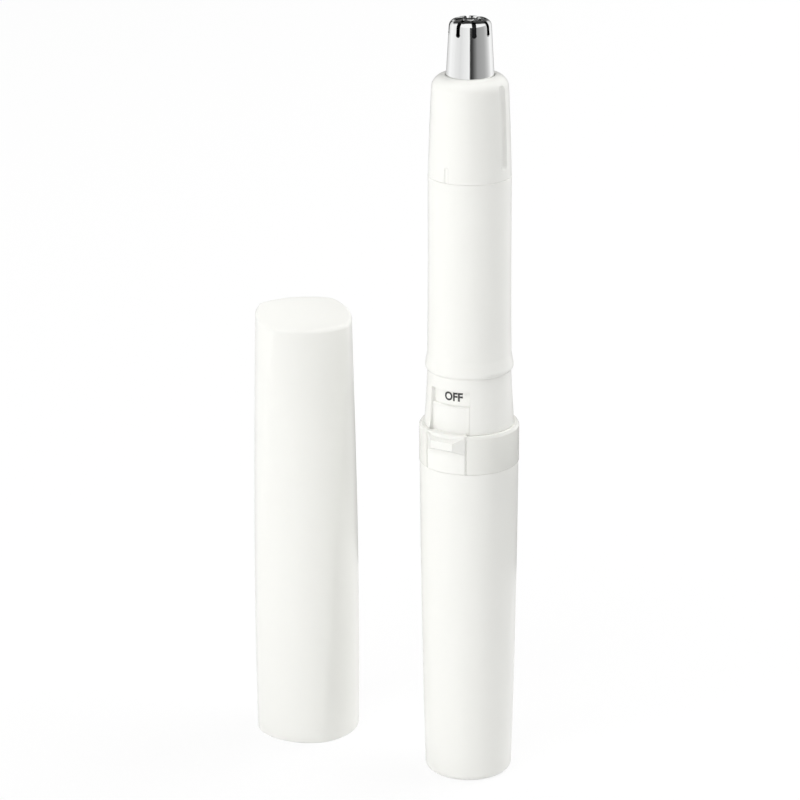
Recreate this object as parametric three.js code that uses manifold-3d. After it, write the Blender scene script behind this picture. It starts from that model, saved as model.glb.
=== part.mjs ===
// Pen-style nose hair trimmer with its twisted cap standing beside it.
// Millimetres, +Z up. The origin is the centre of the trimmer's foot, the switch
// faces -Y, and the cap stands on its open rim to the trimmer's left, at -X.

import * as THREE from 'three';
import { mergeVertices } from 'three/addons/utils/BufferGeometryUtils.js';
import Module from 'manifold-3d';

const wasm = await Module();
wasm.setup();

// Lengths of the outer mouldings, from the foot up
const gripLength = 60.8;
const collarHeight = 7.1;
const neckHeight = 10.2;
const barrelLength = 35.8;
const headLength = 18.2;
const bladeReach = 9.9;
const seam = 0.12;

const collarHigh = gripLength + collarHeight;
const neckHigh = collarHigh + neckHeight;
const barrelHigh = neckHigh + barrelLength;
const headLow = barrelHigh + seam;
const headHigh = barrelHigh + headLength;
const bladeHigh = headHigh + bladeReach;

// Clearances
const slideFit = 0.05;
const touch = 0.05;
const snugFit = 0.03;

// Girth: the cell sets it, and each radius follows the one inside it
const cellRadius = 5.25;
const cellRoom = 0.13;
const troughWall = 0.62;
const chassisRadius = cellRadius + cellRoom + troughWall;
const chassisRoom = 0.1;
const neckBore = chassisRadius + chassisRoom;
const seatWall = 1.82;
const seatRadius = neckBore + seatWall;
const seatBore = seatRadius + slideFit;
const coverLip = 0.95;
const gripRadius = seatBore + coverLip;
const gripWaist = 0.32;
const gripMiddleRadius = gripRadius - gripWaist;
const footDraft = 0.99;
const footRadius = gripRadius - footDraft;
const windowFloorWall = 0.85;
const windowFloorRadius = neckBore + windowFloorWall;
const spigotWall = 0.7;
const upperSpigotRadius = neckBore + spigotWall;
const spigotStep = 0.72;
const neckHighRadius = upperSpigotRadius + spigotStep;
const neckSwell = 0.24;
const neckMiddleRadius = neckHighRadius + neckSwell;
const barrelProud = 0.02;
const barrelLowRadius = neckHighRadius + barrelProud;
const rimProud = 0.41;
const rimRadius = barrelLowRadius + rimProud;
const barrelWaist = 0.13;
const barrelMiddleRadius = barrelLowRadius - barrelWaist;
const barrelFlare = 0.03;
const barrelHighRadius = barrelMiddleRadius + barrelFlare;
const barrelWall = 1.06;
const barrelBore = barrelMiddleRadius - barrelWall;
const recessWall = 1.09;
const recessRadius = barrelHighRadius - recessWall;
const cradleRoom = 0.15;
const cradleRadius = barrelBore - cradleRoom;
const cradleWall = 0.2;
const motorRadius = cradleRadius - cradleWall;
const headStep = 0.05;
const headLowRadius = barrelHighRadius - headStep;
const headDraft = 0.28;
const headMiddleRadius = headLowRadius - headDraft;
const headUpperDraft = 0.39;
const headHighRadius = headMiddleRadius - headUpperDraft;

// Mouldings' edges
const footRounding = 1.3;
const collarProud = 0.11;
const collarWall = 1;
const collarBevelHeight = 0.55;
const collarBevelDepth = 0.24;
const neckProud = 0.11;
const rimBand = 0.9;
const rimFlare = 2.1;
const rimRounding = 0.42;
const flareRounding = 3;
const shoulderRise = 0.35;
const shoulderRounding = 2.4;
const edgeRounding = 0.2;

const cutOverrun = 2;

// Battery cover and the seat that it slides over
const coverWall = 1.1;
const coverFloor = 1.4;
const seatDepth = 8;
const seatLow = gripLength - seatDepth;
const seatChamfer = 0.4;

// Seal ring in the seat's groove
const sealRingWire = 0.4;
const sealGrooveRise = 4;
const sealGrooveHeight = 1;
const sealGrooveLow = seatLow + sealGrooveRise;
const sealGrooveHigh = sealGrooveLow + sealGrooveHeight;
const sealRingRadius = seatBore - slideFit / 2 - sealRingWire;
const sealGrooveRadius = sealRingRadius - sealRingWire - snugFit;

// Collar ring and the core that carries it
const collarRadius = gripRadius + collarProud;
const collarBore = collarRadius - collarWall;
const coreRadius = collarBore - snugFit;
const neckLowRadius = coreRadius + neckProud;
const cutoutAngle = 27.4;

// Neck, its switch window and its spigots
const windowAngle = 30.7;
const windowHeight = 7.9;
const windowHigh = collarHigh + windowHeight;

// Slide switch
const switchTravel = 2.4;
const switchStop = 0.1;
const padAngle = 28.9;
const padThickness = 0.4;
const padRadius = windowFloorRadius + slideFit + padThickness;
const padHigh = windowHigh - switchTravel - switchStop;
const wingAngle = 29.8;
const wingHeight = 4.1;
const wingRadius = coreRadius - slideFit;
const knobAngle = 25.4;
const knobFoot = gripLength + seam;
const knobHigh = collarHigh + seam / 2;
const bumpProud = 0.78;
const bumpBaseHalfWidth = 3.78;
const bumpBaseRise = 3.65;
const bumpBaseLow = gripLength + bumpBaseRise;
const bumpBaseHeight = 3.2;
const bumpSink = 0.88;
const bumpBaseRadius = collarRadius - bumpSink;
const bumpCrestHalfWidth = 2.2;
const bumpCrestHeight = 1.43;
const bumpCrestRise = 0.92;
const pegHalfWidth = 1;
const pegHeight = 2;
const pegDrop = 1.2;
const pegLow = collarHigh - pegDrop;
const pegSlotMargin = 0.28;

// Barrel
const spigotSocket = upperSpigotRadius + slideFit;
const bulkheadHeight = 2.6;

// Chassis that carries the cell, the contacts and the motor
const chassisGap = 0.5;
const chassisLow = coverFloor + chassisGap;
const endPlate = 1.4;
const troughBore = chassisRadius - troughWall;
const troughAngle = 95;
const spineAngle = 60;
const spineWall = 0.9;

// Cell, 44.5 mm long and 10.5 mm across
const cellLength = 44.5;
const cellNubRadius = 1.9;
const cellNubHeight = 1;
const springRoom = 5.1;
const cellLow = chassisLow + endPlate + springRoom;
const cellHigh = cellLow + cellLength;

// Contact strips
const stripThickness = 0.3;
const stripWidth = 1.4;
const stripSpread = 1.6;
const stripFront = -4.55;
const plateRadius = 3.6;
const springPlateRadius = 4.6;
const negativeStripInset = 0.35;
const negativeStripX = negativeStripInset - chassisRadius;
const negativeStripFront = -2;
const negativeStripWidth = 1.3;
const bridgeHalfWidth = 2.4;
const bridgeThickness = 0.4;
const bridgeOverhang = 0.25;
const bridgeGap = 0.9;
const riserOverhang = 0.65;

// Springs
const cellSpringWire = 0.5;
const cellSpringLowRadius = 3.9;
const cellSpringHighRadius = 2.2;
const cellSpringTurns = 3.5;
const bladeSpringWire = 0.4;
const bladeSpringRadius = 2.4;
const bladeSpringTurns = 5;

// Motor
const motorFlat = 5;
const motorLength = 15;
const motorCapHeight = 1.4;
const motorDrop = 10.5;
const motorWall = 0.5;
const motorHigh = barrelHigh - motorDrop;
const motorBossRadius = 2;
const motorBossHeight = 0.7;
const bossPocketRadius = motorBossRadius + slideFit * 3;
const bossPocketDepth = motorBossHeight + slideFit * 2;
const shaftRadius = 0.75;
const shaftRoom = 0.35;
const shaftHole = shaftRadius + shaftRoom;
const shaftSeat = 0.7;
const motorLow = motorHigh - motorLength;
const motorCapLow = motorLow - touch - motorCapHeight;
const magnetThickness = 1.15;
const magnetAngle = 40;
const magnetLength = 11;
const magnetRise = 1.6;
const magnetLow = motorLow + magnetRise;
const magnetBore = motorRadius - motorWall - slideFit - magnetThickness;
const airGap = 0.4;
const armatureRadius = magnetBore - airGap;
const armatureLength = 10;
const armatureLow = magnetLow + (magnetLength - armatureLength) / 2;
const armaturePoles = 3;
const poleGap = 0.8;
const poleDepth = 2;
const commutatorRadius = 1.6;
const commutatorLength = 1.6;
const terminalLength = 2.9;
const terminalThickness = 0.4;
const terminalHalfWidth = 0.8;
const terminalX = 3.55;
const ledgeHeight = 1.3;
const ledgeHoleHalfLength = 4.2;
const ledgeHoleHalfWidth = 1.4;
const ledgeHigh = motorCapLow - touch;
const ledgeLow = ledgeHigh - ledgeHeight;
const spigotHigh = ledgeLow - touch;
const bulkheadLow = motorHigh + touch;
const bulkheadHigh = bulkheadLow + bulkheadHeight;

// Shaft seal and drive coupling
const shaftSealRadius = 2.4;
const shaftSealHeight = 1.2;
const shaftSealLow = bulkheadHigh - shaftSealHeight;
const couplingRadius = 2.2;
const couplingLength = 5.4;
const couplingLow = bulkheadHigh + slideFit * 6;
const couplingHigh = couplingLow + couplingLength;
const couplingSlotDepth = 3.2;
const couplingSlotWidth = 1.3;
const shaftHigh = couplingHigh - couplingSlotDepth - slideFit * 4;

// Head housing, push-fitted into the barrel
const headSpigotLength = 6.4;
const headSpigotRadius = recessRadius - slideFit;
const headSpigotLow = headLow - headSpigotLength;
const headSpigotWall = 0.9;
const headChamber = headSpigotRadius - headSpigotWall;
const keyHalfWidth = 0.6;
const keyDepth = 0.35;
const keyLength = 4.5;
const keyClearance = 0.1;
const fluteRadius = 1.9;
const fluteDepth = 0.42;
const fluteFootGap = 1.5;
const fluteTopGap = 0.4;
const fluteLow = headLow + fluteFootGap;
const fluteHigh = headHigh - fluteTopGap;
const headTurn = -4;
const markRadius = 0.6;
const markHeight = 3;
const markDepth = 0.25;

// Outer blade
const bladeWall = 0.35;
const flangeDrop = 9.1;
const flangeLow = headHigh - flangeDrop;
const flangeHeight = 0.9;
const flangeRadius = headChamber - slideFit * 2;
const flangeReach = 0.57;
const bladeFootRadius = flangeRadius - flangeReach;
const bladeDraft = 1.05;
const bladeTipRadius = bladeFootRadius - bladeDraft;
const bladeShoulderDrop = 0.3;
const crownRounding = 1.15;
const crestRadius = 1.6;
const hubRadius = 0.5;
const dishRadius = 0.95;
const dishDepth = 0.32;
const slotCount = 8;
const slotWidth = 0.75;
const slotReach = 2.7;
const slotLow = bladeHigh - slotReach;
const slotHubRadius = 1.15;
const slotEndSteps = 3;
const bladeHoleGap = 0.09;

// Inner blade, its carrier and its holder
const cutterGap = 0.08;
const cutterWall = 0.5;
const cutterRise = 0.4;
const cutterLow = flangeLow + cutterRise;
const cutterRingHeight = 2.6;
const cutterLegs = 4;
const cutterLegAngle = 30;
const cutterHubRadius = 1.3;
const holderFloor = 1.6;
const holderHigh = flangeLow - slideFit * 2;
const holderHeight = 9.9;
const holderLow = holderHigh - holderHeight;
const holderBore = 3.3;
const carrierShaftRadius = 1.5;
const carrierFlangeRadius = holderBore - slideFit * 2;
const carrierFlangeHeight = 1.4;
const carrierFlangeDrop = 0.6;
const carrierFlangeHigh = holderHigh - carrierFlangeDrop;
const carrierNeckRadius = 3;
const carrierPlugHeight = 2.2;
const tongueHalfWidth = 1.4;
const tongueRoom = 0.3;
const tongueThickness = couplingSlotWidth - tongueRoom;

// Cap: a square of four arcs that turns and swells on its way down, with a slanted end
const capHeight = 82.2;
const capCentreX = -35.7;
const capCentreY = 0.6;
const capMouthRoom = 0.35;
const capMouthRadius = rimRadius + capMouthRoom;
const capMouthWall = 1.2;
const capFaceBottom = capMouthRadius + capMouthWall;
const capFaceSwell = 0.13;
const capFaceMiddle = capFaceBottom + capFaceSwell;
const capEndRoom = 0.21;
const capEndRadius = headLowRadius + capEndRoom;
const capEndWall = 1.21;
const capFaceTop = capEndRadius + capEndWall;
const capCornerBottomReach = 0.38;
const capCornerBottom = capFaceBottom + capCornerBottomReach;
const capCornerMiddleReach = 0.7;
const capCornerMiddle = capFaceMiddle + capCornerMiddleReach;
const capCornerTopReach = 1.07;
const capCornerTop = capFaceTop + capCornerTopReach;
const capTurnBottom = -38;
const capTurnMiddle = -23.6;
const capTurnTop = -1.6;
const capTopSlant = 4.1;
const capSlantTurn = 135;
const capTopRounding = 0.7;
const capRimRounding = 0.3;
const capTopWall = 1.3;
const capEndRounding = 2;

// Fineness of the facets
const sides = 36;
const smallSides = 20;
const bowSteps = 4;
const arcStepAngle = 30;
const sectorStepAngle = 18;
const capColumns = 32;
const capRows = 12;
const capEdgeSteps = 3;

const fullTurn = 360;
const quarterTurn = fullTurn / 4;
const frontAngle = -90;
const rearAngle = 90;
const radians = THREE.MathUtils.degToRad;

// Materials

const whiteShell = new THREE.MeshStandardMaterial({ color: 0xf1f1ec, roughness: 0.35, metalness: 0 });
const whiteCollar = new THREE.MeshStandardMaterial({ color: 0xe6e7e1, roughness: 0.3, metalness: 0 });
const chassisPlastic = new THREE.MeshStandardMaterial({ color: 0xcfd2d2, roughness: 0.55, metalness: 0 });
const darkPlastic = new THREE.MeshStandardMaterial({ color: 0x2c2e30, roughness: 0.5, metalness: 0 });
const polishedSteel = new THREE.MeshStandardMaterial({ color: 0xc8cacb, roughness: 0.12, metalness: 1 });
const springSteel = new THREE.MeshStandardMaterial({ color: 0x9a9da0, roughness: 0.3, metalness: 1 });
const brass = new THREE.MeshStandardMaterial({ color: 0xc9a24a, roughness: 0.3, metalness: 1 });
const motorSteel = new THREE.MeshStandardMaterial({ color: 0xb4b7ba, roughness: 0.35, metalness: 1 });
const magnetFerrite = new THREE.MeshStandardMaterial({ color: 0x3a3b3d, roughness: 0.6, metalness: 0.2 });
const blackRubber = new THREE.MeshStandardMaterial({ color: 0x1c1c1d, roughness: 0.8, metalness: 0 });
const cellJacket = new THREE.MeshStandardMaterial({ color: 0x3d5f8f, roughness: 0.4, metalness: 0.2 });

// Turn a geometry into one closed mesh with shared corners and outward faces
function weld(geometry) {
  geometry.deleteAttribute('normal');
  geometry.deleteAttribute('uv');
  const welded = mergeVertices(geometry);
  const place = welded.getAttribute('position');
  const corners = welded.getIndex().array;
  const faces = [];
  let volume = 0;
  const a = new THREE.Vector3();
  const b = new THREE.Vector3();
  const c = new THREE.Vector3();
  for (let i = 0; i < corners.length; i += 3) {
    const face = [corners[i], corners[i + 1], corners[i + 2]];
    if (new Set(face).size < 3) continue;
    faces.push(face);
    a.fromBufferAttribute(place, face[0]);
    b.fromBufferAttribute(place, face[1]);
    c.fromBufferAttribute(place, face[2]);
    volume += a.dot(b.cross(c));
  }
  if (volume < 0) faces.forEach((face) => face.reverse());
  welded.setIndex(faces.flat());
  return welded;
}

function solidOf(geometry) {
  const welded = weld(geometry);
  return new wasm.Manifold(new wasm.Mesh({
    numProp: 3,
    vertProperties: new Float32Array(welded.getAttribute('position').array),
    triVerts: new Uint32Array(welded.getIndex().array),
  }));
}

function geometryOf(solid) {
  const mesh = solid.getMesh();
  const geometry = new THREE.BufferGeometry();
  geometry.setAttribute('position', new THREE.BufferAttribute(mesh.vertProperties, 3));
  geometry.setIndex(new THREE.BufferAttribute(mesh.triVerts, 1));
  return geometry;
}

// Value at a share of the way between two ends, bowed to pass a middle value
function bowed(low, middle, high, share) {
  const bulge = middle - (low + high) / 2;
  return low + (high - low) * share + 4 * bulge * share * (1 - share);
}

function bowedCorners(low, middleRadius, high) {
  return Array.from({ length: bowSteps + 1 }, (_, step) => {
    const share = step / bowSteps;
    return [bowed(low[0], middleRadius, high[0], share), THREE.MathUtils.lerp(low[1], high[1], share)];
  });
}

// Outline through corners [radius, height, rounding], with an arc at each rounded corner
function outline(corners) {
  return corners.flatMap(([radius, height, rounding = 0], index) => {
    const corner = new THREE.Vector2(radius, height);
    if (rounding === 0) return [corner];
    const count = corners.length;
    const before = new THREE.Vector2(...corners[(index + count - 1) % count]).sub(corner).normalize();
    const after = new THREE.Vector2(...corners[(index + 1) % count]).sub(corner).normalize();
    const half = Math.acos(THREE.MathUtils.clamp(before.dot(after), -1, 1)) / 2;
    const centre = before.clone().add(after).normalize().multiplyScalar(rounding / Math.sin(half)).add(corner);
    const start = before.clone().multiplyScalar(rounding / Math.tan(half)).add(corner).sub(centre);
    const end = after.clone().multiplyScalar(rounding / Math.tan(half)).add(corner).sub(centre);
    const sweep = Math.atan2(start.cross(end), start.dot(end));
    const steps = Math.ceil(Math.abs(sweep) / radians(arcStepAngle));
    return Array.from({ length: steps + 1 }, (_, step) => (
      start.clone().rotateAround(new THREE.Vector2(), sweep * step / steps).add(centre)
    ));
  });
}

// Solid of revolution from an outline that starts and ends on the axis
function turned(corners, count = sides) {
  return solidOf(new THREE.LatheGeometry(outline(corners), count).rotateX(Math.PI / 2));
}

// Ring of revolution from an outline that closes on itself
function turnedRing(corners, count = sides) {
  const points = outline(corners);
  return solidOf(new THREE.LatheGeometry([...points, points[0].clone()], count).rotateX(Math.PI / 2));
}

function disc(radius, low, high, count = smallSides) {
  return turned([[0, low], [radius, low], [radius, high], [0, high]], count);
}

function tubeRing(inner, outer, low, high, count = sides) {
  return turnedRing([[inner, low], [outer, low], [outer, high], [inner, high]], count);
}

function block(lowX, highX, lowY, highY, lowZ, highZ) {
  const box = new THREE.BoxGeometry(highX - lowX, highY - lowY, highZ - lowZ);
  return solidOf(box.translate((lowX + highX) / 2, (lowY + highY) / 2, (lowZ + highZ) / 2));
}

function extruded(shape, low, high, curveSegments) {
  const options = { depth: high - low, bevelEnabled: false, curveSegments };
  return solidOf(new THREE.ExtrudeGeometry(shape, options).translate(0, 0, low));
}

// Sector of a ring, centred on a direction seen from above
function sector(direction, halfAngle, inner, outer, low, high) {
  const start = radians(direction - halfAngle);
  const end = radians(direction + halfAngle);
  const shape = new THREE.Shape();
  shape.absarc(0, 0, outer, start, end, false);
  shape.absarc(0, 0, inner, end, start, true);
  shape.closePath();
  return extruded(shape, low, high, Math.ceil(2 * halfAngle / sectorStepAngle));
}

// Round bar with two flats, as on a small motor
function flattedBar(radius, flat, low, high) {
  const reach = radius + cutOverrun;
  return disc(radius, low, high, sides).intersect(block(-flat, flat, -reach, reach, low, high));
}

function bladeRadiusAt(height) {
  const share = (height - flangeLow) / (bladeHigh - flangeLow);
  return THREE.MathUtils.lerp(bladeFootRadius, bladeTipRadius, share);
}

// Coil that climbs from one height to another while its radius changes
class Coil extends THREE.Curve {
  constructor(lowRadius, highRadius, low, high, turns) {
    super();
    Object.assign(this, { lowRadius, highRadius, low, high, turns });
  }

  getPoint(share, target = new THREE.Vector3()) {
    const angle = share * this.turns * Math.PI * 2;
    const radius = THREE.MathUtils.lerp(this.lowRadius, this.highRadius, share);
    const height = THREE.MathUtils.lerp(this.low, this.high, share);
    return target.set(radius * Math.cos(angle), radius * Math.sin(angle), height);
  }
}

function coiledWire(coil, wire) {
  const wireSides = 5;
  const stepsPerTurn = 8;
  const section = new THREE.Shape(Array.from({ length: wireSides }, (_, side) => {
    const angle = side / wireSides * Math.PI * 2;
    return new THREE.Vector2(Math.cos(angle) * wire / 2, Math.sin(angle) * wire / 2);
  }));
  return new THREE.ExtrudeGeometry(section, {
    steps: Math.round(coil.turns * stepsPerTurn),
    extrudePath: coil,
    bevelEnabled: false,
  });
}

// Outer mouldings

function makeBatteryCover() {
  const high = gripLength - seam;
  const seatWallRadius = bowed(footRadius, gripMiddleRadius, gripRadius, seatLow / gripLength);
  return turned([
    [0, 0],
    [footRadius, 0, footRounding],
    ...bowedCorners([footRadius, 0], gripMiddleRadius, [gripRadius, gripLength]).slice(1, -1),
    [gripRadius, high, edgeRounding],
    [seatBore, high],
    [seatBore, seatLow - touch],
    [seatWallRadius - coverWall, seatLow - coverWall],
    [gripMiddleRadius - coverWall, gripLength / 2],
    [footRadius - coverWall, coverFloor, footRounding],
    [0, coverFloor],
  ]);
}

function makeCollarRing() {
  const ring = turnedRing([
    [collarBore, gripLength],
    [collarRadius, gripLength, edgeRounding / 2],
    [collarRadius, collarHigh - collarBevelHeight],
    [collarRadius - collarBevelDepth, collarHigh],
    [collarBore, collarHigh],
  ]);
  const reach = collarRadius + cutOverrun;
  return ring.subtract(sector(
    frontAngle, cutoutAngle, coreRadius / 2, reach, gripLength - cutOverrun, collarHigh + cutOverrun,
  ));
}

function makeNeckShell() {
  const shell = turnedRing([
    [neckBore, seatLow],
    [seatRadius - seatChamfer, seatLow],
    [seatRadius, seatLow + seatChamfer],
    [seatRadius, sealGrooveLow],
    [sealGrooveRadius, sealGrooveLow],
    [sealGrooveRadius, sealGrooveHigh],
    [seatRadius, sealGrooveHigh],
    [seatRadius, gripLength],
    [coreRadius, gripLength],
    [coreRadius, collarHigh + touch],
    ...bowedCorners([neckLowRadius, collarHigh + touch], neckMiddleRadius, [neckHighRadius, neckHigh - seam]),
    [upperSpigotRadius, neckHigh - seam],
    [upperSpigotRadius, spigotHigh],
    [neckBore, spigotHigh],
  ]);
  const window = sector(
    frontAngle, windowAngle, windowFloorRadius, neckLowRadius + cutOverrun, gripLength, windowHigh,
  );
  const slotHalfWidth = pegHalfWidth + pegSlotMargin;
  const pegSlot = block(
    -slotHalfWidth, slotHalfWidth, -windowFloorRadius - cutOverrun, -neckBore / 2,
    pegLow - pegSlotMargin, pegLow + pegHeight + switchTravel + pegSlotMargin,
  );
  return shell.subtract(window).subtract(pegSlot);
}

function makeUpperBarrel() {
  const flareHigh = neckHigh + rimBand + rimFlare;
  const barrel = turnedRing([
    [spigotSocket, neckHigh],
    [rimRadius, neckHigh, rimRounding],
    [rimRadius, neckHigh + rimBand],
    [barrelLowRadius, flareHigh, flareRounding],
    ...bowedCorners([barrelLowRadius, flareHigh], barrelMiddleRadius, [barrelHighRadius, barrelHigh]).slice(1),
    [recessRadius, barrelHigh],
    [recessRadius, bulkheadHigh],
    [shaftSealRadius, bulkheadHigh],
    [shaftSealRadius, shaftSealLow],
    [shaftHole, shaftSealLow],
    [shaftHole, motorHigh + bossPocketDepth],
    [bossPocketRadius, motorHigh + bossPocketDepth],
    [bossPocketRadius, bulkheadLow],
    [barrelBore, bulkheadLow],
    [barrelBore, spigotHigh + touch],
    [spigotSocket, spigotHigh + touch],
  ]);
  const keyway = block(
    -keyHalfWidth - keyClearance, keyHalfWidth + keyClearance,
    -headSpigotRadius - keyDepth - keyClearance, -headSpigotRadius / 2,
    headSpigotLow - keyClearance, barrelHigh + cutOverrun,
  );
  return barrel.subtract(keyway);
}

function makeHeadHousing() {
  const ledge = flangeLow + flangeHeight + touch;
  const housing = turnedRing([
    [headChamber, headSpigotLow],
    [headSpigotRadius, headSpigotLow],
    [headSpigotRadius, headLow],
    [headLowRadius, headLow],
    ...bowedCorners([headLowRadius, headLow], headMiddleRadius, [headHighRadius, headHigh - shoulderRise]).slice(1, -1),
    [headHighRadius, headHigh - shoulderRise, shoulderRounding],
    [bladeRadiusAt(headHigh) + bladeHoleGap, headHigh],
    [bladeRadiusAt(ledge) + bladeHoleGap, ledge],
    [headChamber, ledge],
  ]);
  const key = block(
    -keyHalfWidth, keyHalfWidth, -headSpigotRadius - keyDepth, -headChamber - slideFit,
    headSpigotLow, headSpigotLow + keyLength,
  );
  const mark = hollow(headLowRadius, markRadius, markDepth, headLow - 2 * markRadius, headLow + markHeight);
  let head = housing.add(key).subtract(mark.rotate([0, 0, headTurn]));
  for (const side of [-1, 1]) {
    const flute = hollow(headMiddleRadius, fluteRadius, fluteDepth, fluteLow, fluteHigh);
    head = head.subtract(flute.rotate([0, 0, headTurn + side * quarterTurn]));
  }
  return head;
}

// Round-ended hollow down the front of the head, leaning with its taper
function hollow(wall, radius, depth, low, high) {
  const lean = Math.atan2(headLowRadius - headHighRadius, headHigh - shoulderRise - headLow);
  const tool = new THREE.CapsuleGeometry(radius, high - low - 2 * radius, smallSides / 4, smallSides);
  tool.rotateX(Math.PI / 2 - lean);
  return solidOf(tool.translate(0, depth - wall - radius, (low + high) / 2));
}

// Blades

// Skin of the blade tube at an inset, from the middle of the crown down to a height
function bladeSkin(inset, low) {
  return [
    [0, bladeHigh - dishDepth - inset],
    [dishRadius, bladeHigh - dishDepth - inset],
    [crestRadius, bladeHigh - inset],
    [bladeTipRadius - inset, bladeHigh - bladeShoulderDrop - inset, crownRounding - inset],
    [bladeRadiusAt(low) - inset, low],
  ];
}

function makeOuterBlade() {
  const flangeHigh = flangeLow + flangeHeight;
  const inner = bladeSkin(bladeWall, flangeLow);
  const outer = bladeSkin(0, flangeHigh).reverse().slice(0, -1);
  const tube = turned([
    ...inner,
    [flangeRadius, flangeLow],
    [flangeRadius, flangeHigh],
    ...outer,
    [hubRadius, bladeHigh],
    [0, bladeHigh],
  ]);
  return slotTools().reduce((blade, slot) => blade.subtract(slot), tube);
}

// Round-ended slots that climb the tube and run in over the crown to its hub
function slotTools() {
  const half = slotWidth / 2;
  const shape = new THREE.Shape();
  shape.moveTo(half, bladeHigh + cutOverrun);
  shape.lineTo(-half, bladeHigh + cutOverrun);
  shape.lineTo(-half, slotLow + half);
  shape.absarc(0, slotLow + half, half, Math.PI, Math.PI * 2, false);
  shape.closePath();
  const depth = bladeFootRadius + cutOverrun - slotHubRadius;
  return Array.from({ length: slotCount }, (_, index) => {
    const turn = radians(headTurn) + index / slotCount * Math.PI * 2;
    const tool = new THREE.ExtrudeGeometry(shape, { depth, bevelEnabled: false, curveSegments: slotEndSteps });
    return solidOf(tool.translate(0, 0, slotHubRadius).rotateX(Math.PI / 2).rotateZ(turn));
  });
}

function makeInnerBlade() {
  const outerInset = bladeWall + cutterGap;
  const innerInset = outerInset + cutterWall;
  const bell = turned([
    [0, bladeHigh - dishDepth - innerInset],
    [bladeTipRadius - innerInset - crestRadius / 2, bladeHigh - dishDepth - innerInset],
    [bladeRadiusAt(slotLow) - innerInset, slotLow],
    [bladeRadiusAt(cutterLow) - innerInset, cutterLow],
    [bladeRadiusAt(cutterLow) - outerInset, cutterLow],
    [bladeRadiusAt(slotLow) - outerInset, slotLow],
    [bladeTipRadius - outerInset, bladeHigh - bladeShoulderDrop - outerInset, crownRounding - outerInset],
    [crestRadius, bladeHigh - dishDepth - outerInset],
    [0, bladeHigh - dishDepth - outerInset],
  ], sides);
  const gapAngle = fullTurn / cutterLegs - cutterLegAngle;
  const windowLow = cutterLow + cutterRingHeight;
  return Array.from({ length: cutterLegs }, (_, index) => sector(
    index / cutterLegs * fullTurn, gapAngle / 2, cutterHubRadius, bladeFootRadius + cutOverrun,
    windowLow, bladeHigh + cutOverrun,
  )).reduce((blade, window) => blade.subtract(window), bell);
}

function makeBladeHolder() {
  return turnedRing([
    [carrierShaftRadius + slideFit, holderLow],
    [headChamber - snugFit, holderLow],
    [headChamber - snugFit, holderHigh],
    [holderBore, holderHigh],
    [holderBore, holderLow + holderFloor],
    [carrierShaftRadius + slideFit, holderLow + holderFloor],
  ], smallSides);
}

function makeBladeCarrier() {
  const plugRadius = bladeRadiusAt(cutterLow + cutterRingHeight) - bladeWall - cutterGap - cutterWall - snugFit;
  const plugLow = cutterLow;
  const shaftLow = couplingHigh + touch;
  const body = turned([
    [0, shaftLow],
    [carrierShaftRadius, shaftLow],
    [carrierShaftRadius, carrierFlangeHigh - carrierFlangeHeight],
    [carrierFlangeRadius, carrierFlangeHigh - carrierFlangeHeight],
    [carrierFlangeRadius, carrierFlangeHigh],
    [carrierNeckRadius, carrierFlangeHigh],
    [carrierNeckRadius, plugLow],
    [plugRadius, plugLow],
    [plugRadius, plugLow + carrierPlugHeight],
    [0, plugLow + carrierPlugHeight],
  ], smallSides);
  const tongue = block(
    -tongueHalfWidth, tongueHalfWidth, -tongueThickness / 2, tongueThickness / 2,
    couplingHigh - couplingSlotDepth + slideFit * 2, shaftLow + touch,
  );
  return body.add(tongue);
}

function makeDriveCoupling() {
  const body = turned([
    [0, shaftHigh + slideFit],
    [shaftRadius + snugFit, shaftHigh + slideFit],
    [shaftRadius + snugFit, couplingLow],
    [couplingRadius, couplingLow],
    [couplingRadius, couplingHigh],
    [0, couplingHigh],
  ], smallSides);
  const reach = couplingRadius + cutOverrun;
  return body.subtract(block(
    -reach, reach, -couplingSlotWidth / 2, couplingSlotWidth / 2,
    couplingHigh - couplingSlotDepth, couplingHigh + cutOverrun,
  ));
}

// Switch

function makeSwitchKnob() {
  const inner = windowFloorRadius + slideFit;
  const pad = sector(frontAngle, padAngle, inner, padRadius, knobFoot, padHigh);
  const wings = sector(frontAngle, wingAngle, inner, wingRadius, knobFoot, knobFoot + wingHeight);
  const thumbOutline = turnedRing([
    [inner, knobFoot],
    [collarRadius, knobFoot],
    [collarRadius, knobHigh - collarBevelHeight / 2],
    [collarRadius - collarBevelDepth, knobHigh],
    [inner, knobHigh],
  ]);
  const thumb = thumbOutline.intersect(sector(
    frontAngle, knobAngle, inner / 2, collarRadius + cutOverrun, knobFoot, knobHigh + cutOverrun,
  ));
  const peg = block(
    -pegHalfWidth, pegHalfWidth, -inner - padThickness / 2, stripFront - touch - bridgeThickness - touch,
    pegLow, pegLow + pegHeight,
  );
  return thumb.add(pad).add(wings).add(gripBump()).add(peg);
}

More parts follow.
